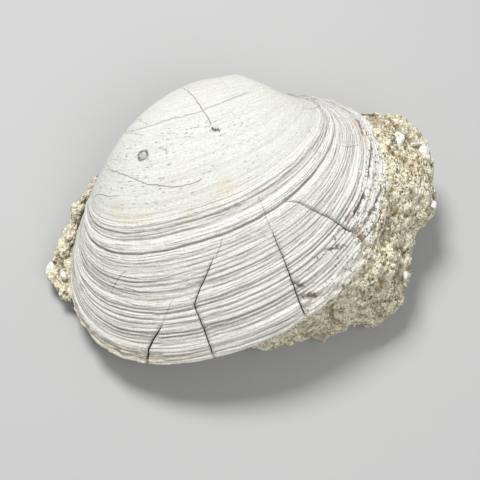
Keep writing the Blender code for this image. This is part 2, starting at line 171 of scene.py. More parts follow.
# Jagged lines of painted shadow where layers broke off, given as the hairlines are
BREAK_LINES = (
    (((0.737, 79.8), (0.722, 78.2), (0.714, 76.6)), 0.24, 0.95),
    (((0.050, 17.2), (0.085, 20.0), (0.080, 22.0), (0.075, 25.5)), 0.10, 0.55),
    (((0.095, 26.3), (0.105, 28.5), (0.120, 31.3), (0.125, 33.8)), 0.12, 0.80),
    (((0.078, 33.0), (0.090, 37.8), (0.100, 41.2), (0.105, 44.0), (0.105, 47.5)), 0.11, 0.80),
    (((0.105, 51.5), (0.105, 54.5), (0.108, 56.5), (0.105, 59.0)), 0.15, 0.90),
    (((0.045, 47.2), (0.050, 50.0), (0.055, 52.2), (0.055, 53.8), (0.060, 56.0), (0.060, 58.8)), 0.11, 0.85),
    (((0.015, 50.5), (0.020, 52.5), (0.025, 54.5), (0.030, 56.8), (0.035, 59.5)), 0.11, 0.80),
    (((0.110, 69.8), (0.103, 69.0), (0.098, 68.3), (0.090, 67.7), (0.088, 67.0), (0.076, 66.2)), 0.14, 0.78),
    (((0.092, 79.7), (0.081, 79.3), (0.075, 78.2)), 0.22, 0.85),
    (((0.052, 79.9), (0.040, 79.2), (0.044, 78.4), (0.036, 77.2)), 0.24, 0.80),
)

# Scars where the outer layer broke away: swing and degrees along each, half its width, its depth and how
# brown it is
SCARS = (
    (((0.078, 33.0), (0.090, 37.8), (0.100, 41.2), (0.105, 47.5)), 0.18, 0.16, 0.1),
    (((0.105, 51.5), (0.105, 54.5), (0.108, 56.5), (0.105, 59.0)), 0.22, 0.22, 0.5),
    (((0.045, 47.2), (0.055, 52.2), (0.060, 58.8)), 0.18, 0.18, 0.3),
    (((0.015, 50.5), (0.025, 54.5), (0.035, 59.5)), 0.18, 0.18, 0.2),
    (((0.110, 69.8), (0.098, 68.3), (0.088, 67.0), (0.076, 66.2)), 0.30, 0.35, 0.1),
    (((0.092, 79.7), (0.075, 78.2)), 0.36, 0.50, 0.2),
    (((0.052, 79.9), (0.036, 77.2)), 0.55, 0.55, 0.6),
    (((0.120, 60.6), (0.112, 59.4)), 0.60, 0.20, 0.8),
    (((0.078, 61.4), (0.060, 61.2), (0.045, 61.5)), 0.75, 0.80, 1.0),
)

# Eaten, gritty patches: swing, degrees and radius
ERODED = (
    (0.140, 46.8, 2.8), (0.125, 50.0, 1.8), (0.070, 60.6, 2.6), (0.105, 57.5, 2.0), (0.042, 78.4, 1.6),
    (0.030, 62.8, 2.2),
)

# Warm stains on the smooth part: swing, degrees and radius
STAINS = (
    (0.425, 112.5, 3.4), (0.460, 116.0, 2.6), (0.445, 84.0, 3.0), (0.425, 88.5, 2.4), (0.410, 108.8, 2.6),
    (0.405, 96.0, 2.4),
)

# Pits: swing, degrees, radius and depth
PITS = ((0.725, 78.2, 0.60, 0.50), (0.105, 63.0, 0.7, 0.5), (0.066, 61.6, 0.8, 0.6))

# A round pit: swing and degrees, the radius of its ring and half the ring's width
ROUND_PIT = (0.705, 107.8)
ROUND_PIT_RADIUS = 1.42
ROUND_PIT_HALF = 0.32

# A worn stripe by the hind edge: swing and degrees along it
WORN_STRIPE = ((0.120, 26.0), (0.135, 29.0), (0.138, 31.5), (0.135, 34.5), (0.126, 37.5))

# Parts of the valve: the degrees or the swings between which each comes in, and those between which it ends
CRUSTED = (24.0, 34.0, 74.0, 84.0)
DOTTED = (20.0, 30.0, 66.0, 84.0)
LAPPED_BY_SAND = (16.0, 30.0, 60.0, 66.0)
SPECKLED = (55.0, 75.0, 130.0, 145.0)
SPECKLED_SWINGS = (0.40, 0.50, 0.80, 0.90)

# Rows of the mesh round the valve's rim, as shares of the way round it, and on its inside, as swing
RIM_SHARES = np.array((0.25, 0.5, 0.75))
INSIDE_SWINGS = np.array((0.0, 0.03, 0.08, 0.15, 0.25, 0.4, 0.6, 0.85, 1.1, 1.28))

# Distance of the valve's wall from the middle of its dome
DOME_RADIUS = 42.0

# Colours of the marks on the shell, with the painted shadow along broken layer edges and in the open cracks
STAIN_COLOUR = (0.68, 0.62, 0.46)
DASH_COLOUR = (0.25, 0.25, 0.19)
PEELED_COLOUR = (0.79, 0.775, 0.71)
DOT_COLOUR = (0.15, 0.135, 0.10)
HAIRLINE_COLOUR = (0.16, 0.14, 0.11)
BREAK_SHADOW_COLOUR = (0.12, 0.10, 0.075)
PIT_FLOOR_COLOUR = (0.36, 0.35, 0.28)
PIT_RING_COLOUR = (0.13, 0.12, 0.085)
CRACK_SHADOW_COLOUR = (0.06, 0.05, 0.04)

# Colours laid over the shell: mark of the mesh, colour, how much of it, and the noise that breaks it up, as
# scale, detail, roughness, its values where the cover starts and ends to change, and the cover at both
SHELL_CRUSTS_AND_SHADE = (
    ("crust", (0.66, 0.60, 0.46), 1.0, (500.0, 4.0, 0.70, 0.40, 0.56, 0.25, 0.90)),
    ("broken", (0.50, 0.45, 0.37), 1.0, (700.0, 2.0, 0.55, 0.40, 0.60, 0.0, 0.45)),
    # Painted shade in the growth grooves, the ledge edges and the pits
    ("groove_shade", (0.28, 0.245, 0.20), 0.72, (330.0, 3.0, 0.55, 0.30, 0.60, 0.45, 1.0)),
)
SHELL_WEAR = (
    ("worn", (0.62, 0.50, 0.39), 1.0, (300.0, 3.0, 0.55, 0.30, 0.62, 0.40, 1.0)),
    ("brown", (0.36, 0.25, 0.15), 1.0, (420.0, 3.0, 0.55, 0.32, 0.58, 0.25, 0.90)),
    ("scar", (0.24, 0.20, 0.155), 1.0, (650.0, 3.0, 0.55, 0.36, 0.56, 0.10, 0.60)),
)

# Colours of the grains that stick to the peeled shell, each with the share of grains that are darker
SAND_ON_SHELL = (
    (0.0, (0.20, 0.17, 0.13)), (0.12, (0.48, 0.43, 0.33)), (0.26, (0.72, 0.69, 0.60)),
    (0.56, (0.83, 0.81, 0.75)),
)

# Other grains and marks of the matrix, painted shade for its hollows and painted highlight for its bumps, and
# the sand on the fragments
OLIVE_GRAIN_COLOUR = (0.36, 0.31, 0.18)
TAN_GRAIN_COLOUR = (0.58, 0.52, 0.33)
CREAM_GRAIN_COLOUR = (0.93, 0.87, 0.64)
PALE_GRAIN_COLOUR = (0.98, 0.94, 0.79)
HOLLOW_SHADE_COLOUR = (0.19, 0.155, 0.085)
RAISED_HIGHLIGHT_COLOUR = (0.90, 0.86, 0.70)
RUST_COLOUR = (0.34, 0.20, 0.10)
SAND_SPECK_COLOUR = (0.52, 0.46, 0.33)

# Clumps in the matrix: colour, and noise as above
SAND_CLUMPS = (
    ((0.97, 0.92, 0.71), (420.0, 3.0, 0.6, 0.47, 0.60, 0.0, 0.60)),
    ((0.20, 0.17, 0.095), (700.0, 3.0, 0.6, 0.450, 0.355, 0.0, 0.76)),
    ((0.97, 0.92, 0.73), (170.0, 3.0, 0.55, 0.48, 0.60, 0.0, 0.42)),
)

# Matrix: its middle, and round that its outline as degrees, radius on the ground, radius at its widest and
# height of that
ROCK_MIDDLE = np.array((-1.8, 2.0))
ROCK_OUTLINE = (
    (-173.0, 33.0, 54.8, 5.0), (-170.0, 32.0, 54.9, 5.0), (-168.0, 32.0, 53.8, 4.6),
    (-160.0, 31.0, 51.4, 4.0), (-153.0, 30.0, 46.5, 4.6), (-137.0, 28.0, 44.5, 6.0),
    (-120.0, 26.0, 41.5, 8.0), (-104.0, 26.0, 39.5, 10.0), (-88.0, 28.0, 39.8, 12.5),
    (-74.0, 31.0, 41.2, 11.0), (-60.0, 34.0, 42.6, 6.5), (-53.0, 36.0, 45.3, 6.5),
    (-47.0, 38.0, 50.0, 6.5), (-43.0, 39.0, 51.2, 8.0), (-37.0, 40.0, 52.0, 9.0), (-26.0, 40.0, 51.7, 11.0),
    (-22.0, 40.0, 50.7, 12.0), (-16.0, 40.0, 51.2, 13.0), (-10.0, 41.0, 54.2, 13.5), (-5.0, 41.0, 57.5, 14.0),
    (0.0, 41.0, 57.4, 15.0), (6.0, 40.0, 57.4, 16.0), (11.0, 39.0, 58.0, 17.0), (16.0, 38.0, 58.0, 18.0),
    (21.0, 37.0, 56.2, 19.0), (25.0, 36.0, 52.2, 20.0), (30.0, 34.0, 45.7, 21.5), (42.0, 32.0, 39.0, 15.0),
    (60.0, 30.0, 35.5, 11.0), (90.0, 28.0, 33.5, 9.0), (120.0, 29.0, 33.0, 9.0), (140.0, 30.0, 37.0, 9.5),
    (153.0, 31.0, 42.5, 10.0), (162.0, 32.0, 44.2, 9.0), (171.0, 33.0, 46.0, 8.0), (177.0, 33.0, 48.7, 7.0),
    (-175.0, 33.0, 52.4, 6.0),
)

# Shares of the way out and up at the corners of the matrix's side, and of the way in at the corners of its
# top, with how far those bulge
ROCK_SIDE = ((0.55, 0.30), (0.88, 0.65), (1.0, 1.0))
ROCK_SHOULDER = ((0.33, 1.3), (0.66, 1.0))

# Where the foot, those corners and the lip lie along the section: 0 at the foot, 1 at the widest place, 2 at
# the lip
ROCK_STATIONS = np.array((0.0, 0.35, 0.75, 1.0, 1.33, 1.66, 2.0))

# How far the lip lies under the valve's edge, and how much higher it is where the sand laps over the edge
LIP_UNDER_EDGE = 0.6
LIP_OVER_EDGE = 0.95

# Unevenness of the matrix: size and height of each
ROCK_LUMPS = ((9.0, 1.3), (4.2, 1.1))
ROCK_GRIT = ((2.1, 0.45), (1.0, 0.24))
ROCK_CLUMPS = ((1.9, 0.42), (0.9, 0.36))

# Dents in the matrix, seen from above: points along each, half its width and its depth, negative for a rise
ROCK_DENTS = (
    (((34.0, 25.0), (40.0, 22.5), (44.0, 20.5), (48.0, 17.0)), 4.5, 1.25),
    (((33.4, -21.0), (36.5, -22.0), (38.3, -22.2), (40.4, -21.0), (42.4, -19.0), (44.1, -16.9)), 0.34, 0.65),
    (((33.8, -26.7), (34.6, -27.3)), 0.8, 0.8),
    (((31.0, -31.8), (32.0, -32.0)), 0.9, 1.3),
    (((-47.8, 0.9), (-47.2, -0.6)), 1.0, 1.2),
    (((-48.0, 8.6), (-46.2, 12.0)), 2.4, -1.2),
    (((42.6, 7.8), (45.6, 6.2), (48.0, 4.9)), 0.9, 0.7),
    (((39.8, -7.6), (40.6, -10.4)), 0.9, 0.9),
    (((50.0, 15.6), (50.9, 14.6)), 0.7, 0.7),
    (((45.0, -11.0), (45.8, -12.0)), 0.6, 0.6),
)

# A raised block in the matrix: x, y, radius and rise
ROCK_BLOCK = (37.4, -27.0, 5.0, 0.45)

# Brown stains on the matrix: x, y and radius
ROCK_STAINS = (
    (43.2, 7.6, 1.4), (46.0, 6.0, 2.0), (48.2, 4.9, 1.4), (50.4, 15.1, 1.3), (34.2, -27.0, 1.3),
    (40.2, -9.0, 1.5),
)

# Rows of the matrix under the valve: how far in from the lip and how far above the valve's edge
ROCK_CORE = ((2.0, -0.6), (5.0, -0.4), (9.0, 0.8), (18.0, 1.5))

# Shell fragments: how far each stands from its solid, and how much it is stretched, both in x, y and z
CHIP_FITS = {
    "chip_top": ((-0.8, -1.4, -0.1), (1.15, 1.30, 0.9)),
    "chip_corner": ((1.6, -0.5, 0.3), (0.90, 1.15, 1.0)),
    "sliver_corner": ((1.5, -1.1, -0.2), (1.15, 0.70, 1.0)),
    "chip_right": ((0.7, 0.1, -0.6), (1.0, 1.15, 1.45)),
    "chip_low_right": ((-1.4, -4.9, 0.7), (0.75, 1.15, 1.0)),
    "chip_left_tip": ((-0.2, -0.5, -0.1), (1.05, 1.5, 1.0)),
    "chip_left": ((-0.2, -0.7, 0.1), (0.78, 1.0, 0.9)),
}

# Unevenness of the fragments: size and how strong it is
CHIP_WAVES = ((1.9, 4.4), (0.6, 0.8), (0.3, 0.35))
CHIP_ROUGHNESS = 0.13
PLATE_ROUGHNESS = 0.14

# The matrix keeps clear of the brown plate: x and y of its middle, how far round it and how deep
PLATE_MIDDLE = (15.4, -35.0)
PLATE_ROOM = 3.4
PLATE_ROOM_DEPTH = 0.9

# Lights: place, width and what they are turned to, in metres
KEY_PLACE = (-0.14, 0.36, 0.68)
KEY_WIDTH = 0.30
FILL_PLACE = (0.20, -0.50, 0.62)
FILL_WIDTH = 0.60
LIT_PLACE = (0.0, 0.0, 0.01)
SKY_COLOUR = (0.95, 0.97, 1.0, 1.0)
SKY_STRENGTH = 0.27


def natural_spline(knots, values, x):
    """Smooth curve through the values, with straight ends."""
    knots = np.asarray(knots, float)
    values = np.asarray(values, float)
    steps = np.diff(knots)
    matrix = np.eye(len(knots))
    right = np.zeros(len(knots))
    for i in range(1, len(knots) - 1):
        matrix[i, i - 1:i + 2] = steps[i - 1], 2.0 * (steps[i - 1] + steps[i]), steps[i]
        slopes = (values[i + 1] - values[i]) / steps[i] - (values[i] - values[i - 1]) / steps[i - 1]
        right[i] = 6.0 * slopes
    bend = np.linalg.solve(matrix, right)
    i = np.clip(np.searchsorted(knots, x) - 1, 0, len(knots) - 2)
    after = x - knots[i]
    before = knots[i + 1] - x
    cubic = (bend[i] * before ** 3 + bend[i + 1] * after ** 3) / (6.0 * steps[i])
    low = (values[i] / steps[i] - bend[i] * steps[i] / 6.0) * before
    high = (values[i + 1] / steps[i] - bend[i + 1] * steps[i] / 6.0) * after
    return cubic + low + high


def growth_point(swing, angle):
    """Points of the valve's outside, in the shell's own frame, in millimetres."""
    radius = natural_spline(EDGE_ANGLES, EDGE_RADII, angle)
    drift = natural_spline(OUTLINE_DRIFT_ANGLES, OUTLINE_DRIFT, angle)
    curl = np.clip((swing - BEAK_CURL_START) / (math.pi - BEAK_CURL_START), 0.0, None)
    size = np.exp(-SHRINK_RATE * swing - BEAK_CURL_SHRINK * curl ** 2)
    radius = radius * (1.0 + np.clip(swing, 0.0, OUTLINE_DRIFT_END) * drift) * size
    flat_angle = OUTLINE_TURN * np.clip(swing, 0.0, TURNING_END) - angle - HINGE_TURN
    along = radius * np.cos(flat_angle)
    across = np.minimum(radius * np.sin(flat_angle), -HINGE_GROOVE * size)
    up = -across * np.sin(swing)
    across = across * np.cos(swing)
    return np.stack([
        along * math.cos(HINGE_TURN) - across * math.sin(HINGE_TURN),
        along * math.sin(HINGE_TURN) + across * math.cos(HINGE_TURN),
        up,
    ], axis=-1)


def outward(swing, angle):
    """Unit normals of the valve's outside."""
    step = 1.0e-3
    along = growth_point(swing, angle + step) - growth_point(swing, angle - step)
    up = growth_point(swing + step, angle) - growth_point(swing - step, angle)
    normal = np.cross(along, up)
    normal /= np.linalg.norm(normal, axis=-1, keepdims=True) + 1.0e-9
    facing = np.sum((growth_point(swing, angle) - DOME_CENTRE) * normal, axis=-1, keepdims=True)
    return normal * np.sign(facing)


def laid_down(points):
    """From the shell's own frame to the part's frame, still in millimetres."""
    x, y, z = points[..., 0], points[..., 1], points[..., 2]
    cos_hind, sin_hind = math.cos(LIFT_HIND_END), math.sin(LIFT_HIND_END)
    x, z = x * cos_hind - z * sin_hind, x * sin_hind + z * cos_hind
    cos_front, sin_front = math.cos(LIFT_FRONT), math.sin(LIFT_FRONT)
    y, z = y * cos_front + z * sin_front, z * cos_front - y * sin_front
    return np.stack([x, y, z], axis=-1) + BEAK_AT


def noise_at(x, y, z):
    """Smooth noise, about -1 to 1, at arrays of points."""
    x, y, z = np.broadcast_arrays(x, y, z)
    places = zip(x.ravel().tolist(), y.ravel().tolist(), z.ravel().tolist())
    return np.array([noise.noise(place) for place in places]).reshape(x.shape)


def noise_in(points, size):
    """Smooth noise, about -1 to 1, with waves of about one size."""
    return noise_at(points[..., 0] / size, points[..., 1] / size, points[..., 2] / size)


def clumps_in(points, size):
    """Rounded grains of about one size with creases between them, about -1 to 1."""
    places = (points / size).reshape(-1, 3).tolist()
    nearest = np.array([noise.voronoi(place)[0][0] for place in places]).reshape(points.shape[:-1])
    return 1.0 - 2.2 * nearest


def smooth_step(low, high, value):
    t = np.clip((value - low) / (high - low), 0.0, 1.0)
    return t * t * (3.0 - 2.0 * t)


def between(value, rise_start, rise_end, fall_start, fall_end):
    """Rises from 0 to 1 and falls back to 0."""
    return smooth_step(rise_start, rise_end, value) * (1.0 - smooth_step(fall_start, fall_end, value))


def from_line(points, line):
    """Distance of points from a line of points, in the same units."""
    nearest = np.full(points.shape[:-1], 1.0e9)
    for start, end in zip(line[:-1], line[1:]):
        way = end - start
        t = np.clip(np.sum((points - start) * way, axis=-1) / np.sum(way * way), 0.0, 1.0)
        nearest = np.minimum(nearest, np.linalg.norm(points - start - t[..., None] * way, axis=-1))
    return nearest


def on_shell(path, between=6):
    """A path of (swing, degrees) as points on the valve's outside, with more points between its own."""
    path = np.array(path, float)
    at = np.linspace(0.0, len(path) - 1.0, (len(path) - 1) * between + 1)
    swing = np.interp(at, np.arange(len(path)), path[:, 0])
    degrees = np.interp(at, np.arange(len(path)), path[:, 1])
    return growth_point(swing, np.radians(degrees))


def deselect_all():
    for thing in bpy.context.selected_objects:
        thing.select_set(False)


def vertex_vectors(piece, name):
    """The places or the normals of a mesh's vertices."""
    values = np.zeros(len(piece.data.vertices) * 3)
    piece.data.vertices.foreach_get(name, values)
    return values.reshape(-1, 3)


def grid_object(name, columns, rows):
    """A flat grid, and the column and row of each of its vertices."""
    deselect_all()
    bpy.ops.mesh.primitive_grid_add(x_subdivisions=columns, y_subdivisions=rows, size=1.0)
    piece = bpy.context.object
    piece.name = name
    piece.data.name = name
    flat = vertex_vectors(piece, "co")
    column = np.rint((flat[:, 0] + 0.5) * columns).astype(int)
    row = np.rint((flat[:, 1] + 0.5) * rows).astype(int)
    return piece, column, row


def add_value(piece, name, values):
    """A value on each vertex, which the finish reads."""
    attribute = piece.data.attributes.new(name, "FLOAT", "POINT")
    attribute.data.foreach_set("value", np.asarray(values, np.float32).ravel())


def wrap_grid(piece, points):
    piece.data.vertices.foreach_set("co", (points * MM).astype(np.float32).ravel())
    piece.data.update()


def close_round(piece):
    """Merges the seam of a grid that was wrapped round, closes its two ends and turns its faces out."""
    bpy.context.view_layer.objects.active = piece
    bpy.ops.object.mode_set(mode="EDIT")
    bpy.ops.mesh.select_all(action="SELECT")
    bpy.ops.mesh.remove_doubles(threshold=1.0e-6)
    bpy.ops.mesh.fill_holes(sides=0)
    bpy.ops.mesh.select_all(action="DESELECT")
    bpy.ops.mesh.select_face_by_sides(number=4, type="GREATER")
    bpy.ops.mesh.poke()
    bpy.ops.mesh.select_all(action="SELECT")
    bpy.ops.mesh.normals_make_consistent(inside=False)
    bpy.ops.object.mode_set(mode="OBJECT")
    bpy.ops.object.shade_smooth()


def outside_rows(count_old, count_young):
    """Swing of each row of the valve's outside, from the beak to the edge, closest on the young part."""
    def size(swing):
        return math.exp(-SHRINK_RATE * swing)
    old = np.linspace(size(BEAK_SWING), size(YOUNG_SWING), count_old, endpoint=False)
    young = np.linspace(size(YOUNG_SWING), 1.0, count_young)
    return -np.log(np.concatenate([old, young])) / SHRINK_RATE


def crack_columns(columns):
    """The column of the mesh that each crack follows."""
    places = []
    for path, _, _, _ in CRACKS:
        degrees = np.mean([degree for swing, degree in path if swing < 0.3])
        places.append(int(round(degrees / 180.0 * columns - 0.5)))
    return places


def shell_angles(swing, column, columns):
    """Angle of each vertex round the valve, with columns drawn to the cracks."""
    angle = np.zeros_like(swing)
    followed = crack_columns(columns)
    order = np.argsort(followed)
    radius = np.linalg.norm(growth_point(swing, np.full_like(swing, math.radians(90.0))), axis=-1)
    reach = np.degrees(1.0 / np.maximum(radius, 6.0))
    even = (column % columns + 0.5) / columns * 180.0
    for at in np.unique(swing):
        same = swing == at
        step = reach[same][0]
        knots = [-0.5]
        values = [0.0]
        for crack in order:
            path, end, half_edge, half_end = CRACKS[crack]
            centre = np.interp(at, [swing_at for swing_at, _ in path], [degree for _, degree in path])
            ragged = noise.noise((at * 55.0, crack * 3.1, 0.0))
            ragged += 0.6 * noise.noise((at * 160.0, crack * 5.3, 2.0))
            centre += CRACK_RAGGED * ragged * step
            half = np.interp(at, (0.0, end), (half_edge, half_end))
            lip = half + CRACK_LIP
            away = np.array((-CRACK_ROOM, -lip, -0.6 * half, 0.0, 0.6 * half, lip, CRACK_ROOM))
            knots.extend(followed[crack] + np.arange(-3, 4))
            values.extend(centre + away * step)
        knots.append(columns - 0.5)
        values.append(180.0)
        past_cracks = float(smooth_step(*EVEN_AGAIN, at))
        drawn = np.interp(column[same] % columns, knots, values)
        angle[same] = drawn + past_cracks * (even[same] - drawn)
    return np.radians(np.clip(angle, 0.3, 179.7))


def peeled(swing, degrees, points):
    """How much of the outer layer has peeled off, by the hind edge."""
    ragged = 0.018 * noise_at(points[..., 0] / 4.0, points[..., 1] / 4.0, 3.0)
    reach = smooth_step(22.0, 31.0, degrees) * (1.0 - 0.55 * smooth_step(60.0, 64.0, degrees))
    reach *= 1.0 - smooth_step(76.0, 92.0, degrees)
    return smooth_step(0.0, 0.022, PEELED_TO * reach + ragged - swing) * smooth_step(0.03, 0.2, reach)


def lamellae(swing, degrees, spacing, seed):
    """Thin growth layers, 0 to 1: each swells gently towards the edge and ends in a narrow notch."""
    across = swing / spacing
    drift = 1.1 * noise_at(across * 0.27, degrees / 34.0, seed)
    across = across + drift + 0.13 * noise_at(across, degrees / 5.0, seed)
    number = np.floor(across)
    share = across - number
    strength = 0.55 + 0.75 * noise_at(number * 0.73, degrees / 16.0, seed + 0.5)
    strength = np.clip(strength, 0.15, 1.0)
    notch = sum(np.exp(-((share - at) / NOTCH_HALF) ** 2) for at in (NOTCH_AT, 1.0 + NOTCH_AT))
    return 0.45 + strength * (0.35 * (1.0 - share) + 0.20 - np.clip(notch, 0.0, 1.0))


def place_on(swing, degrees):
    """One place on the valve's outside."""
    return growth_point(np.array(swing), np.radians(degrees))


def from_place(points, swing, degrees):
    """Distance of points from one place on the valve, in millimetres."""
    return np.linalg.norm(points - place_on(swing, degrees), axis=-1)


def growth_lines(swing, degrees, points, from_hinge):
    """Height of the growth steps and ridges, and how deep in a step and how far up the ridges each point is,
    which set the painted shade in the steps and the painted highlight on the ridges.
    """
    shift = np.array(SECTOR_SHIFTS)[np.digitize(degrees, SECTOR_ENDS)]
    shift = shift * (1.0 - smooth_step(0.10, 0.28, swing))
    wander = 0.0035 * noise_at(degrees / 22.0, swing * 6.0, 5.0)
    wander += 0.0018 * noise_at(degrees / 5.0, swing * 26.0, 9.0)
    wander += 0.0011 * noise_at(degrees / 1.7, swing * 60.0, 3.0) + shift
    for at, degree in SNAGS:
        wander += 0.009 * np.exp(-(from_place(points, at, degree) / 2.4) ** 2) * noise_in(points, FINE)
    calm = 0.62 + 0.38 * smooth_step(48.0, 74.0, degrees)
    height, groove_shade, ridge_highlight = np.zeros((3,) + swing.shape)
    for number, (at, drop, fade) in enumerate(GROWTH_STEPS):
        strength = calm * (1.0 + 0.55 * noise_at(degrees / 24.0, 3.7 * number, 0.0))
        past = (at + wander - swing) * from_hinge
        over = smooth_step(-STEP_EDGE, STEP_EDGE, past)
        after = np.exp(-np.clip(past, 0.0, None) / fade) * over
        before = np.exp(np.clip(past, None, 0.0) / (0.8 * fade)) * (1.0 - over)
        narrow = np.exp(-((past - STEP_EDGE) / 0.17) ** 2)
        height += drop * strength * (0.20 * before - 0.30 * after - 0.36 * narrow)
        # Painted shade along the foot of each step's drop
        mark = np.exp(-((past - STEP_EDGE) / 0.18) ** 2) * np.clip(1.5 * drop * strength, 0.0, 1.0)
        groove_shade = np.maximum(groove_shade, mark)
    for number, (at, rise, half) in enumerate(GROWTH_RIDGES):
        strength = 1.0 + 0.5 * noise_at(degrees / 24.0, 2.9 * number, 4.0)
        form = np.exp(-((at + wander - swing) * from_hinge / half) ** 2)
        height += rise * strength * form
        # Painted highlight on top of the ridges
        ridge_highlight = np.maximum(ridge_highlight, form * strength)
    return height, groove_shade, ridge_highlight


def shell_relief(swing, angle, points):
    """Height of the valve's surface above its plain form, in millimetres, and what the finish needs of it."""
    degrees = np.degrees(angle)
    hinge = np.array((math.cos(HINGE_TURN), math.sin(HINGE_TURN), 0.0))
    from_hinge = np.linalg.norm(np.cross(points, hinge), axis=-1)
    near_edge = np.clip((from_hinge - 4.0) / 30.0, 0.0, 1.0)
    height, groove_shade, ridge_highlight = growth_lines(swing, degrees, points, from_hinge)
    young = 1.0 - smooth_step(0.37, 0.43, swing)
    wide_layers = lamellae(swing, degrees, WIDE_LAYER, 1.0)
    thin_layers = lamellae(swing, degrees, THIN_LAYER, 7.0)
    height += (0.15 * young + 0.05 * (1.0 - young)) * (wide_layers - 0.6)
    height += (0.10 * young + 0.03 * (1.0 - young)) * (thin_layers - 0.6)
    height *= near_edge
    flaws = noise_at(points[..., 0] / FLAWS, points[..., 1] / FLAWS, points[..., 2] / FLAWS + 11.0)
    broken = smooth_step(0.25, 0.55, flaws) * young
    height -= 0.20 * broken * near_edge * (0.4 + 0.6 * wide_layers)
    peel = peeled(swing, degrees, points)
    ledge = lamellae(swing, degrees, LEDGE_LAYER, 4.0)
    rough = noise_in(points, ROUGH)
    grit = noise_in(points, GRIT)
    height += peel * (0.46 * ledge - 0.52 + 0.36 * rough + 0.26 * grit)
    edge_of_ledge = (1.0 - smooth_step(0.0, 0.35, ledge)) * smooth_step(-0.25, 0.15, grit)
    # Painted shade along the edges of the peeled ledges
    groove_shade = np.maximum(groove_shade, 0.45 * peel * edge_of_ledge)
    front = smooth_step(96.0, 118.0, degrees) * (1.0 - smooth_step(0.020, 0.042, swing + 0.010 * grit))
    hind = between(degrees, *CRUSTED)
    hind *= 1.0 - smooth_step(0.018, 0.050, swing + 0.024 * grit)
    crust = np.maximum(front, hind)
    height += crust * (0.55 * grit + 0.34 * rough - 0.24)
    for at, degree, size in ERODED:
        eaten = np.exp(-(from_place(points, at, degree) / size) ** 2)
        height += eaten * (0.55 * rough + 0.40 * grit - 0.30)
        peel = np.maximum(peel, 0.9 * eaten)
    scar, brown, stain = np.zeros((3,) + swing.shape)
    for path, half, depth, tint in SCARS:
        away = from_line(points, on_shell(path)) / half * (1.0 + 0.45 * rough)
        cut = 1.0 - smooth_step(0.7, 1.5, away)
        height -= depth * cut
        scar = np.maximum(scar, cut * (1.0 - 0.55 * tint))
        brown = np.maximum(brown, tint * (1.0 - smooth_step(0.9, 1.9, away)))
    for at, degree, size in STAINS:
        stain = np.maximum(stain, np.exp(-(from_place(points, at, degree) / size) ** 2))
    height += 0.14 * noise_in(points, BROAD)
    height += (0.035 + 0.05 * young) * noise_in(points, FINE) * np.clip(near_edge + 0.3, 0.0, 1.0)
    for at, degree, size, depth in PITS:
        uneven = 1.0 + 0.25 * noise_at(points[..., 0] / size, points[..., 1] / size, 4.0)
        bowl = 1.0 - smooth_step(0.55, 1.1, from_place(points, at, degree) / size * uneven)
        height -= depth * bowl
        # Painted shade in the pits
        groove_shade = np.maximum(groove_shade, 0.8 * bowl)
    away = from_place(points, *ROUND_PIT) - ROUND_PIT_RADIUS
    height -= 0.22 * np.exp(-(away / ROUND_PIT_HALF) ** 2) + 0.06 * (away < 0.0)
    layers = young * (0.60 * wide_layers + 0.40 * thin_layers) + (1.0 - young) * 0.7
    return height, {
        "groove_shade": groove_shade, "ridge_highlight": ridge_highlight, "layers": layers, "peel": peel, "crust": crust, "broken": broken,
        "scar": scar, "brown": brown, "stain": stain,
    }


def open_cracks(swing, column, columns, height):
    """Sinks the cracks' columns into the shell. Returns how open each vertex is."""
    opened = np.zeros_like(height)
    for followed, (_, end, _, _) in zip(crack_columns(columns), CRACKS):
        inside = smooth_step(0.0, 0.04, end - swing)
        for offset, depth in CRACK_DEPTHS:
            here = column % columns == followed + offset
            height[here] -= depth * inside[here]
            opened[here] = np.maximum(opened[here], inside[here])
    return opened


def edge_round(middle, swing_at_edge):
    """Direction, distance, height and angle on the valve of its edge, all round the middle of the matrix."""
    angle = np.radians(np.linspace(0.0, 180.0, 1441))
    edge = laid_down(growth_point(swing_at_edge(np.degrees(angle)), angle))
    offset = edge[:, :2] - middle
    direction = np.arctan2(offset[:, 1], offset[:, 0])
    order = np.argsort(direction)
    distance = np.hypot(offset[:, 0], offset[:, 1])
    return direction[order], distance[order], edge[order, 2], np.degrees(angle)[order]


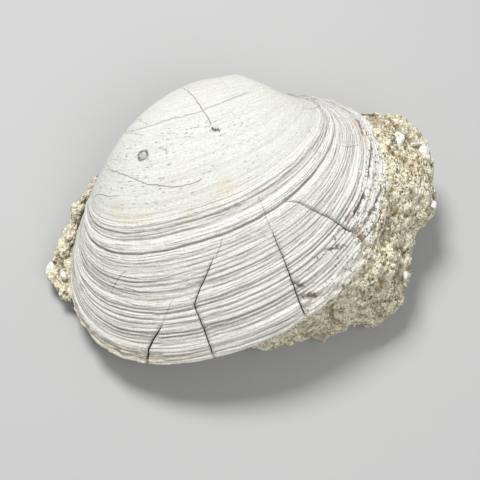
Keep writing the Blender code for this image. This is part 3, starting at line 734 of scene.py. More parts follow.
class NodeBoard:
    """Short ways to add and join the nodes of one material."""

    def __init__(self, name):
        self.material = bpy.data.materials.new(name)
        self.material.use_nodes = True
        self.nodes = self.material.node_tree.nodes
        self.links = self.material.node_tree.links
        self.shader = self.nodes["Principled BSDF"]
        self.object_place = self.add("ShaderNodeTexCoord").outputs["Object"]

    def add(self, kind, **settings):
        node = self.nodes.new(kind)
        for key, value in settings.items():
            setattr(node, key, value)
        return node

    def join(self, source, target):
        self.links.new(source, target)

    def value(self, name):
        return self.add("ShaderNodeAttribute", attribute_name=name).outputs["Fac"]

    def math(self, operation, *given):
        node = self.add("ShaderNodeMath", operation=operation)
        for socket, term in zip(node.inputs, given):
            if isinstance(term, (int, float)):
                socket.default_value = term
            else:
                self.join(term, socket)
        return node.outputs[0]

    def fold(self, operation, terms):
        result = terms[0]
        for term in terms[1:]:
            result = self.math(operation, result, term)
        return result

    def times(self, *terms):
        return self.fold("MULTIPLY", terms)

    def most(self, *terms):
        return self.fold("MAXIMUM", terms)

    def less(self, value):
        """What is left of 1."""
        return self.math("SUBTRACT", 1.0, value)

    def noise(self, scale, detail=3.0, roughness=0.55, place=None):
        node = self.add("ShaderNodeTexNoise")
        node.inputs["Scale"].default_value = scale
        node.inputs["Detail"].default_value = detail
        node.inputs["Roughness"].default_value = roughness
        self.join(place or self.object_place, node.inputs["Vector"])
        return node.outputs["Fac"]

    def grains(self, scale, place=None):
        node = self.add("ShaderNodeTexVoronoi")
        node.inputs["Scale"].default_value = scale
        self.join(place or self.object_place, node.inputs["Vector"])
        return node

    def ramp(self, source, stops, interpolation="LINEAR"):
        node = self.add("ShaderNodeValToRGB")
        node.color_ramp.interpolation = interpolation
        while len(node.color_ramp.elements) < len(stops):
            node.color_ramp.elements.new(0.5)
        for element, (position, colour) in zip(node.color_ramp.elements, stops):
            element.position = position
            element.color = (*colour, 1.0)
        self.join(source, node.inputs["Fac"])
        return node.outputs["Color"]

    def grain_colours(self, grains, stops):
        """One plain colour for each grain, picked by the red share of the grain's own colour."""
        node = self.add("ShaderNodeSeparateColor")
        self.join(grains.outputs["Color"], node.inputs["Color"])
        return self.ramp(node.outputs["Red"], stops, "CONSTANT")

    def level(self, source, low, high, to_low=0.0, to_high=1.0):
        node = self.add("ShaderNodeMapRange", clamp=True)
        for key, given in (("From Min", low), ("From Max", high), ("To Min", to_low), ("To Max", to_high)):
            node.inputs[key].default_value = given
        self.join(source, node.inputs["Value"])
        return node.outputs["Result"]

    def patches(self, scale, detail, roughness, *levels):
        """Noise cut into patches."""
        return self.level(self.noise(scale, detail, roughness), *levels)

    def mix(self, share, first, second, blend_type="MIX"):
        node = self.add("ShaderNodeMix", data_type="RGBA", blend_type=blend_type)
        for socket, given in zip((node.inputs[0], node.inputs[6], node.inputs[7]), (share, first, second)):
            if isinstance(given, (int, float)):
                socket.default_value = given
            elif isinstance(given, tuple):
                socket.default_value = (*given, 1.0)
            else:
                self.join(given, socket)
        return node.outputs[2]

    def shade(self, base, value):
        """A colour made darker by a value."""
        grey = self.ramp(value, ((0.0, (0.0, 0.0, 0.0)), (1.0, (1.0, 1.0, 1.0))))
        return self.mix(1.0, base, grey, "MULTIPLY")

    def weather_and_shade(self, base, rows):
        """Lays colours over a base where a mark of the mesh and patches of noise meet."""
        for mark, colour, share, noise_levels in rows:
            cover = self.times(self.value(mark), self.patches(*noise_levels), share)
            base = self.mix(cover, base, colour)
        return base

    def bump(self, source, depth_mm, before=None):
        node = self.add("ShaderNodeBump")
        node.inputs["Strength"].default_value = 1.0
        node.inputs["Distance"].default_value = depth_mm * MM
        self.join(source, node.inputs["Height"])
        if before is not None:
            self.join(before, node.inputs["Normal"])
        return node.outputs["Normal"]

    def finish(self, base, roughness, gloss=0.5, normal=None):
        """Joins what was made to the shader, and returns the material."""
        self.join(base, self.shader.inputs["Base Color"])
        self.shader.inputs["Roughness"].default_value = roughness
        self.shader.inputs["Specular IOR Level"].default_value = gloss
        if normal is not None:
            self.join(normal, self.shader.inputs["Normal"])
        return self.material


def line_mask(board, u, v, path, half, ragged):
    """A thin line on the shell, along a path of (swing, degrees)."""
    swings = [swing for swing, _ in path]
    shares = [degrees / 180.0 for _, degrees in path]
    along_growth = abs(shares[-1] - shares[0]) * math.pi > abs(swings[-1] - swings[0])
    run, other = (shares, swings) if along_growth else (swings, shares)
    source, target = (u, v) if along_growth else (v, u)
    if run[0] > run[-1]:
        run, other = run[::-1], other[::-1]
    low, high = min(other) - 0.01, max(other) + 0.01
    share = board.level(source, run[0], run[-1])
    curve = board.add("ShaderNodeFloatCurve")
    points = curve.mapping.curves[0].points
    while len(points) < len(run):
        points.new(0.5, 0.5)
    for point, at, value in zip(points, run, other):
        point.location = ((at - run[0]) / (run[-1] - run[0]), (value - low) / (high - low))
        point.handle_type = "VECTOR"
    curve.mapping.update()
    board.join(share, curve.inputs["Value"])
    wanted = board.math("MULTIPLY_ADD", curve.outputs["Value"], high - low, low)
    radius = float(np.linalg.norm(place_on(*path[len(path) // 2])))
    per_unit = 0.8 * radius if along_growth else math.pi * radius
    away = board.times(board.math("SUBTRACT", target, wanted), per_unit)
    away = board.math("ABSOLUTE", board.math("ADD", away, ragged))
    line = board.level(away, half, 2.2 * half, 1.0, 0.0)
    return board.times(line, board.level(share, 0.0, 0.03), board.level(share, 1.0, 0.90))


def far_from(board, swing, degrees):
    """Distance from a place on the valve, in millimetres, made a little uneven."""
    node = board.add("ShaderNodeVectorMath", operation="DISTANCE")
    board.join(board.object_place, node.inputs[0])
    node.inputs[1].default_value = tuple(float(value) for value in laid_down(place_on(swing, degrees)) * MM)
    return board.times(node.outputs["Value"], 1.0 / MM, board.patches(900.0, 2.0, 0.55, 0.3, 0.7, 0.88, 1.12))


def chalky_shell(settings):
    """White chalky shell, with painted shade in its growth lines and painted highlight on its ridges, worn
    specks, stains and sandy peeled patches.
    """
    board = NodeBoard("chalky_shell")
    uv = board.add("ShaderNodeUVMap", uv_map="growth").outputs["UV"]
    split = board.add("ShaderNodeSeparateXYZ")
    board.join(uv, split.inputs[0])
    u, v = split.outputs["X"], split.outputs["Y"]
    groove_shade_colour, ridge_highlight_colour = tuple(settings.groove_shade_colour), tuple(settings.ridge_highlight_colour)

    def stretched(along, across):
        node = board.add("ShaderNodeVectorMath", operation="MULTIPLY")
        node.inputs[1].default_value = (along, across, 1.0)
        board.join(uv, node.inputs[0])
        return node.outputs["Vector"]

    def streaks(along, across, detail=2.0, roughness=0.5):
        return board.noise(1.0, detail, roughness, stretched(along, across))

    def lines(rows, ragged):
        masks = []
        for path, half, darkness in rows:
            masks.append(board.times(line_mask(board, u, v, path, half, ragged), darkness))
        return board.most(*masks)

    # Growth layers: broad streaks, fine streaks of painted shade and painted highlight, threads and notches
    # of painted shade, and painted highlight on the ridges of the mesh
    old = board.level(board.value("swing"), 0.36, 0.46)
    young = board.less(old)
    base = board.mix(old, tuple(settings.young_colour), tuple(settings.chalk_colour))
    base = board.shade(base, board.level(streaks(5.0, 46.0, 3.0, 0.6), 0.30, 0.55, 0.86, 1.0))
    fine = streaks(16.0, 150.0, 3.0, 0.65)
    # Painted shade in the fine streaks, stronger on the young part
    fine_shade = board.times(board.level(fine, 0.50, 0.38), board.math("MULTIPLY_ADD", young, 0.40, 0.14))
    base = board.mix(fine_shade, base, groove_shade_colour)
    # Painted highlight on the fine streaks
    fine_highlight = board.times(board.level(fine, 0.54, 0.66), board.math("MULTIPLY_ADD", young, 0.50, 0.20))
    base = board.mix(fine_highlight, base, ridge_highlight_colour)
    drift = board.math("ADD", board.times(streaks(4.0, 9.0), 7.0), board.times(streaks(30.0, 60.0), 0.9))
    count = board.math("FRACT", board.math("ADD", board.times(v, THREADS), drift))
    thread = board.math("ADD", board.level(count, 0.02, 0.24, 1.0, 0.0), board.level(count, 0.90, 1.0))
    seen = board.level(streaks(11.0, 34.0), 0.36, 0.60, 0.15, 1.0)
    thread = board.times(thread, seen, board.math("MULTIPLY_ADD", young, 0.88, 0.12))
    # Painted shade along the threads
    base = board.mix(board.times(thread, 0.42), base, groove_shade_colour)
    # Painted shade in the notches between the layers
    notches = board.times(board.level(board.value("layers"), 0.42, 0.0), young, 0.55)
    base = board.mix(notches, base, groove_shade_colour)
    # Painted highlight on the ridges
    base = board.mix(board.times(board.value("ridge_highlight"), 0.6), base, ridge_highlight_colour)

    # Stains, crusts, painted shade in the grooves and pits, and the dashes worn into the smooth part
    stain = board.times(board.value("stain"), board.patches(260.0, 3.0, 0.55, 0.35, 0.65, 0.15, 0.65))
    cloudy = board.patches(48.0, 3.0, 0.55, 0.48, 0.70, 0.0, 0.16)
    base = board.mix(board.most(cloudy, stain), base, STAIN_COLOUR)
    base = board.shade(base, board.patches(1500.0, 3.0, 0.75, 0.30, 0.66, 0.79, 1.0))
    # Crusts, broken places, and painted shade in the grooves and pits
    base = board.weather_and_shade(base, SHELL_CRUSTS_AND_SHADE)
    dash = board.level(board.grains(1.0, stretched(56.0, 95.0)).outputs["Distance"], 0.26, 0.13)
    dash = board.times(dash, board.patches(230.0, 2.0, 0.55, 0.42, 0.52), board.value("specks"))
    base = board.mix(board.times(dash, 0.66), base, DASH_COLOUR)

    # The peeled band: sand grains, dark dots, worn and brown places
    base = board.mix(board.times(board.value("peel"), 0.70), base, PEELED_COLOUR)
    sand = board.grain_colours(board.grains(2000.0), SAND_ON_SHELL)
    sandy = board.times(board.value("peel"), board.patches(210.0, 3.0, 0.55, 0.46, 0.60, 0.06, 0.80))
    base = board.mix(sandy, base, sand)
    dot = board.level(board.grains(1150.0).outputs["Distance"], 0.36, 0.22)
    dot = board.times(dot, board.patches(420.0, 3.0, 0.55, 0.46, 0.56), board.value("dotted"))
    base = board.mix(board.times(dot, 0.90), base, DOT_COLOUR)
    base = board.weather_and_shade(base, SHELL_WEAR)

    # Hairlines, painted shadow along broken edges, the round pit, and painted shadow in the open cracks
    hairline = lines(HAIRLINES, board.patches(520.0, 3.0, 0.55, 0.2, 0.8, -0.22, 0.22))
    base = board.mix(hairline, base, HAIRLINE_COLOUR)
    # Painted shadow along the edges where layers broke off
    break_line = lines(BREAK_LINES, board.patches(850.0, 3.0, 0.7, 0.25, 0.75, -0.45, 0.45))
    break_line = board.times(break_line, board.patches(520.0, 3.0, 0.55, 0.38, 0.50, 0.12, 1.0))
    base = board.mix(break_line, base, BREAK_SHADOW_COLOUR)
    away = far_from(board, *ROUND_PIT)
    inner, outer = ROUND_PIT_RADIUS - ROUND_PIT_HALF, ROUND_PIT_RADIUS + ROUND_PIT_HALF
    ring = board.times(
        board.level(away, inner - 0.12, inner + 0.12), board.level(away, outer + 0.12, outer - 0.12),
        board.patches(1400.0, 3.0, 0.7, 0.40, 0.55, 0.30, 1.0))
    gritty = board.patches(1300.0, 3.0, 0.55, 0.35, 0.60, 0.2, 0.8)
    base = board.mix(board.times(board.level(away, outer, inner), gritty), base, PIT_FLOOR_COLOUR)
    base = board.mix(board.times(ring, 0.92), base, PIT_RING_COLOUR)
    # Painted shadow in the open cracks
    crack = board.level(board.value("crack"), 0.35, 0.9, 0.0, 0.95)
    base = board.mix(crack, base, CRACK_SHADOW_COLOUR)

    beads = board.times(board.less(board.grains(1.0, stretched(110.0, 176.0)).outputs["Distance"]), young)
    crusty = board.times(board.noise(900.0, 4.0, 0.7), board.most(board.value("crust"), board.value("peel")))
    sunk = board.less(board.most(dash, dot, hairline, ring, break_line))
    normal = board.bump(board.noise(2000.0, 3.0, 0.65), 0.20)
    raised = ((fine, 0.18), (board.less(thread), 0.15), (beads, 0.07), (crusty, 0.50), (sunk, 0.18))
    for form, depth in raised:
        normal = board.bump(form, depth, normal)
    return board.finish(base, settings.roughness, 0.35, normal)


def sandstone(settings):
    """Loose sandy stone: grains of cream, tan, olive and dark brown, rough all over."""
    board = NodeBoard("sandstone")
    grains = board.grains(1900.0)
    colour = board.grain_colours(grains, (
        (0.0, tuple(settings.dark_grain_colour)), (0.11, OLIVE_GRAIN_COLOUR), (0.24, TAN_GRAIN_COLOUR),
        (0.42, tuple(settings.sand_colour)), (0.68, CREAM_GRAIN_COLOUR), (0.88, PALE_GRAIN_COLOUR),
    ))
    for tint, noise_levels in SAND_CLUMPS:
        colour = board.mix(board.patches(*noise_levels), colour, tint)
    # Painted shade in the hollows of the matrix and painted highlight on its bumps
    shade_and_highlight = board.value("shade_and_highlight")
    colour = board.mix(board.level(shade_and_highlight, 0.20, 1.15, 0.0, 0.76), colour, HOLLOW_SHADE_COLOUR)
    colour = board.mix(board.level(shade_and_highlight, -0.10, -0.90, 0.0, 0.50), colour, RAISED_HIGHLIGHT_COLOUR)
    rust = board.patches(130.0, 2.0, 0.55, 0.62, 0.70, 0.0, 0.35)
    stain = board.times(board.value("stain"), board.patches(600.0, 3.0, 0.55, 0.36, 0.60, 0.1, 0.85))
    colour = board.mix(board.most(rust, stain), colour, RUST_COLOUR)
    normal = board.bump(board.less(grains.outputs["Distance"]), 0.40)
    normal = board.bump(board.noise(800.0, 4.0, 0.70), 0.75, normal)
    return board.finish(colour, settings.roughness, 0.25, normal)


def chip_finish(name, colour, roughness):
    """Broken shell: plain and matt, with thin growth layers and specks of sand."""
    board = NodeBoard(name)
    layers = board.add("ShaderNodeTexWave", wave_type="BANDS", bands_direction="Z")
    layers.inputs["Scale"].default_value = 420.0
    layers.inputs["Distortion"].default_value = 3.0
    layers.inputs["Detail"].default_value = 2.0
    board.join(board.object_place, layers.inputs["Vector"])
    base = board.shade(tuple(colour), board.level(layers.outputs["Fac"], 0.0, 1.0, 0.86, 1.0))
    base = board.mix(board.patches(900.0, 3.0, 0.55, 0.52, 0.64, 0.0, 0.70), base, SAND_SPECK_COLOUR)
    return board.finish(base, roughness, normal=board.bump(board.noise(1900.0, 3.0), 0.06))


def plain_finish(name, colour, roughness):
    """The pale studio floor."""
    board = NodeBoard(name)
    base = board.shade(tuple(colour), board.patches(14.0, 2.0, 0.55, 0.3, 0.7, 0.985, 1.0))
    return board.finish(base, roughness)


def set_finish(piece, material):
    piece.data.materials.clear()
    piece.data.materials.append(material)


def hand_in(piece, slot_name, *nodes):
    """Attaches a finished piece to the root body and hides the solid parts that it stands for."""
    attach(piece, "root")
    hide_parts(*nodes)


class ShellSettings(bpy.types.PropertyGroup):
    """Sizes and colours of the valve."""

    columns: bpy.props.IntProperty(
        name="Columns", description="Lines of the mesh from the beak to the edge", default=280, min=60)
    rows_old: bpy.props.IntProperty(
        name="Rows on the old part", description="Rows of the mesh on the smooth part by the beak",
        default=100, min=10)
    rows_young: bpy.props.IntProperty(
        name="Rows on the young part", description="Rows of the mesh on the ridged part by the edge",
        default=230, min=10)
    wall: bpy.props.FloatProperty(
        name="Wall", description="Thickness of the valve at its edge", default=0.0030, unit="LENGTH")
    chalk_colour: bpy.props.FloatVectorProperty(
        name="Chalk", description="Colour of the old smooth part",
        default=(0.700, 0.703, 0.662), subtype="COLOR")
    young_colour: bpy.props.FloatVectorProperty(
        name="Young shell", description="Colour of the ridged part",
        default=(0.73, 0.715, 0.675), subtype="COLOR")
    # Painted shade at the bottom of the growth lines
    groove_shade_colour: bpy.props.FloatVectorProperty(
        name="Grooves", description="Colour at the bottom of the growth lines",
        default=(0.36, 0.32, 0.27), subtype="COLOR")
    # Painted highlight on top of the growth ridges
    ridge_highlight_colour: bpy.props.FloatVectorProperty(
        name="Ridges", description="Colour on top of the growth ridges",
        default=(0.85, 0.84, 0.80), subtype="COLOR")
    roughness: bpy.props.FloatProperty(
        name="Roughness", description="How matt the valve is", default=0.78, min=0.0, max=1.0)


class RockSettings(bpy.types.PropertyGroup):
    """Sizes and colours of the matrix."""

    columns: bpy.props.IntProperty(
        name="Columns", description="Lines of the mesh round the lump", default=620, min=60)
    wall_rows: bpy.props.IntProperty(
        name="Wall rows", description="Rows of the mesh up the side", default=66, min=8)
    top_rows: bpy.props.IntProperty(
        name="Top rows", description="Rows of the mesh on the upper side", default=84, min=8)
    sand_colour: bpy.props.FloatVectorProperty(
        name="Sand", description="Colour of the common grains", default=(0.72, 0.66, 0.48), subtype="COLOR")
    dark_grain_colour: bpy.props.FloatVectorProperty(
        name="Dark grains", description="Colour of the dark grains",
        default=(0.13, 0.11, 0.08), subtype="COLOR")
    roughness: bpy.props.FloatProperty(
        name="Roughness", description="How matt the matrix is", default=0.95, min=0.0, max=1.0)


class ChipSettings(bpy.types.PropertyGroup):
    """Colours and edges of the loose shell fragments."""

    chip_colour: bpy.props.FloatVectorProperty(
        name="Chips", description="Colour of the white chips", default=(0.82, 0.81, 0.77), subtype="COLOR")
    plate_colour: bpy.props.FloatVectorProperty(
        name="Plate", description="Colour of the brown plate", default=(0.52, 0.46, 0.40), subtype="COLOR")
    edge_round: bpy.props.FloatProperty(
        name="Worn edge", description="Width of the worn edges", default=0.0002, unit="LENGTH")


class StageSettings(bpy.types.PropertyGroup):
    """The floor, the lights and the camera."""

    floor_colour: bpy.props.FloatVectorProperty(
        name="Floor", description="Colour of the floor", default=(0.42, 0.42, 0.415), subtype="COLOR")
    floor_side: bpy.props.FloatProperty(
        name="Floor side", description="Length of the floor's side", default=8.0, unit="LENGTH")
    camera_place: bpy.props.FloatVectorProperty(
        name="Camera", description="Where the camera stands",
        default=(-0.0188, -0.1379, 0.2617), subtype="TRANSLATION", unit="LENGTH")
    camera_aim: bpy.props.FloatVectorProperty(
        name="Aim", description="Direction that the camera looks in",
        default=(0.062, 0.465, -0.883), subtype="DIRECTION")
    lens: bpy.props.FloatProperty(
        name="Lens", description="Focal length in millimetres", default=76.5, min=10.0)
    key_power: bpy.props.FloatProperty(
        name="Key light", description="Power of the large light behind and above", default=6.8, unit="POWER")
    fill_power: bpy.props.FloatProperty(
        name="Fill light", description="Power of the fill light in front", default=3.1, unit="POWER")


class OBJECT_OT_clam_valve(bpy.types.Operator):
    """Models the valve with its growth ridges, cracks and pits"""

    bl_idname = "object.clam_valve"
    bl_label = "Valve"

    def execute(self, context):
        settings = context.scene.clam_shell
        columns = settings.columns
        outside = outside_rows(settings.rows_old, settings.rows_young)
        swings = np.concatenate([outside, 0.0 * RIM_SHARES, INSIDE_SWINGS])
        depth = np.concatenate([0.0 * outside, RIM_SHARES, 1.0 + 0.0 * INSIDE_SWINGS])
        piece, column, row = grid_object("clam_valve", columns, len(swings) - 1)
        swing = swings[row]
        share = depth[row]
        angle = shell_angles(swing, column, columns)
        degrees = np.degrees(angle)
        points = growth_point(swing, angle)
        normal = outward(swing, angle)
        height, marks = shell_relief(swing, angle, points)
        crack = open_cracks(swing, column, columns, height)
        outer = points + normal * height[:, None]
        drawn = DOME_CENTRE + (points - DOME_CENTRE) * (1.0 - settings.wall / MM / DOME_RADIUS)
        x, y, _ = points.T
        chipped = noise_at(x / 2.6, y / 2.6, 6.0) + 0.5 * noise_at(x, y, 2.0)
        chipped = chipped * (1.0 + 0.9 * smooth_step(96.0, 118.0, degrees))
        near_rim = np.exp(-swing / 0.008) * (share < 1.0)
        outer += normal * (0.24 * near_rim * chipped)[:, None]
        round_out = 0.35 * np.sin(math.pi * share)
        round_out += 0.30 * chipped * np.sin(math.pi * np.clip(share + 0.25, 0.0, 1.0))
        away = (points - DOME_CENTRE) * np.array((1.0, 1.0, 0.0))
        away /= np.linalg.norm(away, axis=-1, keepdims=True) + 1.0e-9
        edge = outer * (1.0 - share)[:, None] + drawn * share[:, None] + away * round_out[:, None]
        edge[:, 2] -= 0.45 * np.sin(math.pi * share)
        wrap_grid(piece, laid_down(np.where((share > 0.0)[:, None], edge, outer)))
        worn = np.clip(1.3 - from_line(points, on_shell(WORN_STRIPE)), 0.0, 0.75)
        specks = between(swing, *SPECKLED_SWINGS)
        specks *= 0.70 + 0.45 * np.exp(-((swing - 0.745) / 0.05) ** 2)
        specks *= between(degrees, *SPECKLED)
        dotted = between(degrees, *DOTTED) * (1.0 - smooth_step(0.10, 0.15, swing))
        marks.update(swing=swing, crack=crack, worn=worn, specks=specks, dotted=dotted)
        for mark, values in marks.items():
            add_value(piece, mark, values)
        uv = piece.data.uv_layers.active
        uv.name = "growth"
        loops = np.zeros(len(piece.data.loops), int)
        piece.data.loops.foreach_get("vertex_index", loops)
        both = np.stack([angle[loops] / math.pi, swing[loops]], axis=-1)
        both[column[loops] == columns, 0] = 1.0
        uv.data.foreach_set("uv", both.astype(np.float32).ravel())
        close_round(piece)
        set_finish(piece, chalky_shell(settings))
        hand_in(piece, "shell", "valve")
        return {"FINISHED"}


def lap(degrees):
    """How far up the valve the sand laps, as swing."""
    ragged = noise_at(degrees / 5.0, 2.0, 0.5) + 0.6 * noise_at(degrees / 1.9, 5.0, 0.5)
    return between(degrees, *LAPPED_BY_SAND) * (0.012 + 0.018 * ragged)


def rock_relief(x, y, height, from_middle):
    """Rise of the matrix's surface in millimetres, its fine grit, which with the rise sets the painted shade
    and highlight, and how stained it is.
    """
    place = np.stack([x, y, height], axis=-1)
    rise = sum(amount * noise_in(from_middle, size) for size, amount in ROCK_LUMPS)
    fine = sum(amount * noise_in(place, size) for size, amount in ROCK_GRIT)
    for size, amount in ROCK_CLUMPS:
        fine += amount * clumps_in(place, size)
    rise += fine
    upper_side = smooth_step(4.0, 7.0, height)
    ragged = 1.0 + 0.5 * noise_in(place, 1.2)
    for path, half, depth in ROCK_DENTS:
        away = from_line(place[..., :2], np.array(path)) / half * ragged
        rise -= depth * np.exp(-away ** 2) * upper_side
    block_x, block_y, block_size, block_rise = ROCK_BLOCK
    from_block = np.hypot(x - block_x, y - block_y) / block_size
    rise += block_rise * (1.0 - smooth_step(0.75, 1.05, from_block * ragged ** 0.5)) * upper_side
    clear = np.exp(-((x - PLATE_MIDDLE[0]) ** 2 + (y - PLATE_MIDDLE[1]) ** 2) / PLATE_ROOM ** 2)
    rise = rise * (1.0 - clear) - PLATE_ROOM_DEPTH * clear
    stain = np.zeros_like(height)
    for stain_x, stain_y, size in ROCK_STAINS:
        stain = np.maximum(stain, np.exp(-(np.hypot(x - stain_x, y - stain_y) / size) ** 2))
    return rise, fine, stain


class OBJECT_OT_clam_matrix(bpy.types.Operator):
    """Models the lump of sandstone that the valve lies on"""

    bl_idname = "object.clam_matrix"
    bl_label = "Matrix"

    def execute(self, context):
        settings = context.scene.clam_rock
        columns = settings.columns
        direction = np.linspace(-math.pi, math.pi, columns, endpoint=False)
        across, back = np.cos(direction), np.sin(direction)
        angles, *rings = np.array(ROCK_OUTLINE).T
        ground, wide, wide_height = (
            np.interp(direction, np.radians(angles), ring, period=FULL_TURN) for ring in rings)
        way, *edge_values = edge_round(ROCK_MIDDLE, lap)
        edge, edge_height, edge_angle = (
            np.interp(direction, way, value, period=FULL_TURN) for value in edge_values)
        stands_out = smooth_step(0.0, 1.5, wide - edge)
        lip = np.where(stands_out > 0.0, edge - 0.1, wide - 0.6)
        over_edge = LIP_OVER_EDGE * stands_out * between(edge_angle, *LAPPED_BY_SAND)
        lip_height = edge_height - LIP_UNDER_EDGE + over_edge
        radii = [ground] + [ground + out * (wide - ground) for out, _ in ROCK_SIDE]
        heights = [0.0 * wide] + [up * wide_height for _, up in ROCK_SIDE]
        for step, bulge in ROCK_SHOULDER:
            radii.append(wide + step * (lip - wide))
            heights.append(wide_height + step * (lip_height - wide_height) + bulge * stands_out)
        radii.append(lip)
        heights.append(lip_height)
        wall = np.linspace(0.0, 1.0, settings.wall_rows, endpoint=False)
        at = np.concatenate([wall, np.linspace(1.0, 2.0, settings.top_rows)])
        radius, height = (
            np.array([natural_spline(ROCK_STATIONS, knots, at) for knots in np.array(corners).T]).T
            for corners in (radii, heights))
        x = ROCK_MIDDLE[0] + radius * across
        y = ROCK_MIDDLE[1] + radius * back
        points = np.stack([x, y, np.maximum(height, 0.0)], axis=-1)
        around = np.roll(points, -1, axis=1) - np.roll(points, 1, axis=1)
        normal = np.cross(around, np.gradient(points, axis=0))
        normal /= np.linalg.norm(normal, axis=-1, keepdims=True) + 1.0e-9
        from_middle = np.stack([radius * across, radius * back, height], axis=-1)
        rise, fine, stain = rock_relief(x, y, height, from_middle)
        free = smooth_step(0.0, 0.12, at)[:, None] * (1.0 - smooth_step(1.80, 2.0, at)[:, None] * 0.75)
        points = points + normal * (rise * free)[..., None]
        points[..., 2] = np.maximum(points[..., 2], 0.0)
        # Painted shade in hollows and painted highlight on bumps, from the relief
        shade_and_highlight = -fine / 0.62 - (rise - fine) / 2.6
        under = []
        for inward, up in ROCK_CORE:
            core = lip - inward
            core_x, core_y = ROCK_MIDDLE[0] + core * across, ROCK_MIDDLE[1] + core * back
            under.append(np.stack([core_x, core_y, edge_height + up], axis=-1))
        points = np.concatenate([points, np.array(under)])
        # Full painted shade on the rows under the valve
        shade_and_highlight = np.concatenate([shade_and_highlight, np.ones((len(under), columns))])
        stain = np.concatenate([stain, np.zeros((len(under), columns))])
        piece, column, row = grid_object("clam_matrix", columns, len(points) - 1)
        wrap_grid(piece, points[row, column % columns])
        add_value(piece, "shade_and_highlight", shade_and_highlight[row, column % columns])
        add_value(piece, "stain", stain[row, column % columns])
        close_round(piece)
        set_finish(piece, sandstone(settings))
        hand_in(piece, "sandstone", "matrix")
        return {"FINISHED"}


def broken_copy(name, node, worn_edge, rough, shift=(0.0, 0.0, 0.0), stretch=(1.0, 1.0, 1.0)):
    """A worn, uneven copy of one of the solid fragments, moved and stretched about its middle."""
    deselect_all()
    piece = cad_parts[node].copy()
    piece.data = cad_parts[node].data.copy()
    piece.parent = None
    for key in list(piece.keys()):
        del piece[key]
    piece.name = name
    piece.data.name = name
    bpy.context.scene.collection.objects.link(piece)
    piece.select_set(True)
    bpy.context.view_layer.objects.active = piece
    bpy.ops.object.mode_set(mode="EDIT")
    bpy.ops.mesh.select_all(action="SELECT")
    bpy.ops.mesh.remove_doubles(threshold=1.0e-6)
    bpy.ops.mesh.dissolve_limited(angle_limit=math.radians(2.0))
    bpy.ops.object.mode_set(mode="OBJECT")
    for kind, values in (
        ("BEVEL", {"width": worn_edge, "segments": 2}), ("TRIANGULATE", {}),
        ("SUBSURF", {"subdivision_type": "SIMPLE", "levels": 3, "render_levels": 3}),
    ):
        modifier = piece.modifiers.new(kind.lower(), kind)
        for key, value in values.items():
            setattr(modifier, key, value)
        bpy.ops.object.modifier_apply(modifier=modifier.name)
    places = vertex_vectors(piece, "co") / MM
    rise = rough * sum(amount * noise_in(places, size) for size, amount in CHIP_WAVES)
    middle = places.mean(axis=0)
    stretched = middle + shift + (places - middle) * np.array(stretch)
    wrap_grid(piece, stretched + vertex_vectors(piece, "normal") * rise[:, None])
    bpy.ops.object.shade_smooth()
    return piece


class OBJECT_OT_clam_chips(bpy.types.Operator):
    """Models the white shell chips caught in the matrix"""

    bl_idname = "object.clam_chips"
    bl_label = "Chips"

    def execute(self, context):
        settings = context.scene.clam_chips
        finish = chip_finish("broken_shell", settings.chip_colour, 0.6)
        for node, (shift, stretch) in sorted(CHIP_FITS.items()):
            piece = broken_copy(f"clam_{node}", node, settings.edge_round, CHIP_ROUGHNESS, shift, stretch)
            set_finish(piece, finish)
            hand_in(piece, "shell_chips", node)
        return {"FINISHED"}


class OBJECT_OT_clam_edge_plate(bpy.types.Operator):
    """Models the brown shell plate under the front edge"""

    bl_idname = "object.clam_edge_plate"
    bl_label = "Brown plate"

    def execute(self, context):
        settings = context.scene.clam_chips
        piece = broken_copy("clam_edge_plate", "edge_plate", settings.edge_round, PLATE_ROUGHNESS)
        set_finish(piece, chip_finish("brown_shell", settings.plate_colour, 0.7))
        hand_in(piece, "brown_shell", "edge_plate")
        return {"FINISHED"}


def add_light(name, place, width, power):
    """A round soft light that is turned to the specimen."""
    bpy.ops.object.light_add(type="AREA", location=place)
    light = bpy.context.object
    light.name = name
    light.data.name = name
    light.data.shape = "DISK"
    light.data.size = width
    light.data.energy = power
    light.rotation_euler = (Vector(LIT_PLACE) - Vector(place)).to_track_quat("-Z", "Y").to_euler()


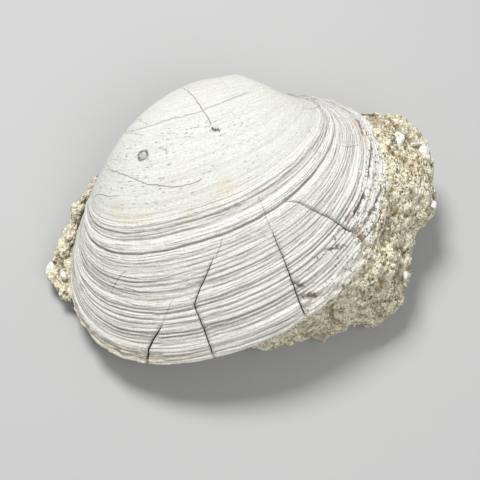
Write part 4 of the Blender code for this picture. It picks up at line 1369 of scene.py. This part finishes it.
class OBJECT_OT_clam_stage(bpy.types.Operator):
    """Sets the pale floor, the soft lights and the camera"""

    bl_idname = "object.clam_stage"
    bl_label = "Stage"

    def execute(self, context):
        settings = context.scene.clam_stage
        deselect_all()
        bpy.ops.mesh.primitive_plane_add(size=settings.floor_side, location=(0.0, 0.0, 0.0))
        floor = bpy.context.object
        floor.name = "studio_floor"
        set_finish(floor, plain_finish("pale_floor", settings.floor_colour, 0.85))
        context.scene.view_settings.view_transform = "Standard"
        add_light("key_light", KEY_PLACE, KEY_WIDTH, settings.key_power)
        add_light("fill_light", FILL_PLACE, FILL_WIDTH, settings.fill_power)
        world = bpy.data.worlds.new("studio")
        context.scene.world = world
        world.use_nodes = True
        background = world.node_tree.nodes["Background"]
        background.inputs["Color"].default_value = SKY_COLOUR
        background.inputs["Strength"].default_value = SKY_STRENGTH
        bpy.ops.object.camera_add(location=settings.camera_place)
        camera = bpy.context.object
        camera.name = "photo_camera"
        camera.rotation_euler = Vector(settings.camera_aim).to_track_quat("-Z", "Y").to_euler()
        camera.data.sensor_width = 36.0
        camera.data.lens = settings.lens
        camera.data.clip_start = 0.01
        context.scene.camera = camera
        return {"FINISHED"}


class VIEW3D_PT_fossil_clam(bpy.types.Panel):
    """Lists the steps that make the fossil clam"""

    bl_label = "Fossil clam"
    bl_idname = "VIEW3D_PT_fossil_clam"
    bl_space_type = "VIEW_3D"
    bl_region_type = "UI"
    bl_category = "Fossil clam"

    def draw(self, context):
        for operator in OPERATORS:
            self.layout.operator(operator.bl_idname)


OPERATORS = (
    OBJECT_OT_clam_valve,
    OBJECT_OT_clam_matrix,
    OBJECT_OT_clam_chips,
    OBJECT_OT_clam_edge_plate,
    OBJECT_OT_clam_stage,
)
SETTINGS = (
    ("clam_shell", ShellSettings),
    ("clam_rock", RockSettings),
    ("clam_chips", ChipSettings),
    ("clam_stage", StageSettings),
)


def register():
    for _, group in SETTINGS:
        bpy.utils.register_class(group)
    for operator in OPERATORS:
        bpy.utils.register_class(operator)
    bpy.utils.register_class(VIEW3D_PT_fossil_clam)
    for name, group in SETTINGS:
        setattr(bpy.types.Scene, name, bpy.props.PointerProperty(type=group))


def unregister():
    for name, _ in SETTINGS:
        delattr(bpy.types.Scene, name)
    bpy.utils.unregister_class(VIEW3D_PT_fossil_clam)
    for operator in reversed(OPERATORS):
        bpy.utils.unregister_class(operator)
    for _, group in reversed(SETTINGS):
        bpy.utils.unregister_class(group)


def main():
    register()
    bpy.ops.object.clam_valve()
    bpy.ops.object.clam_matrix()
    bpy.ops.object.clam_chips()
    bpy.ops.object.clam_edge_plate()
    bpy.ops.object.clam_stage()


if __name__ == "__main__":
    main()
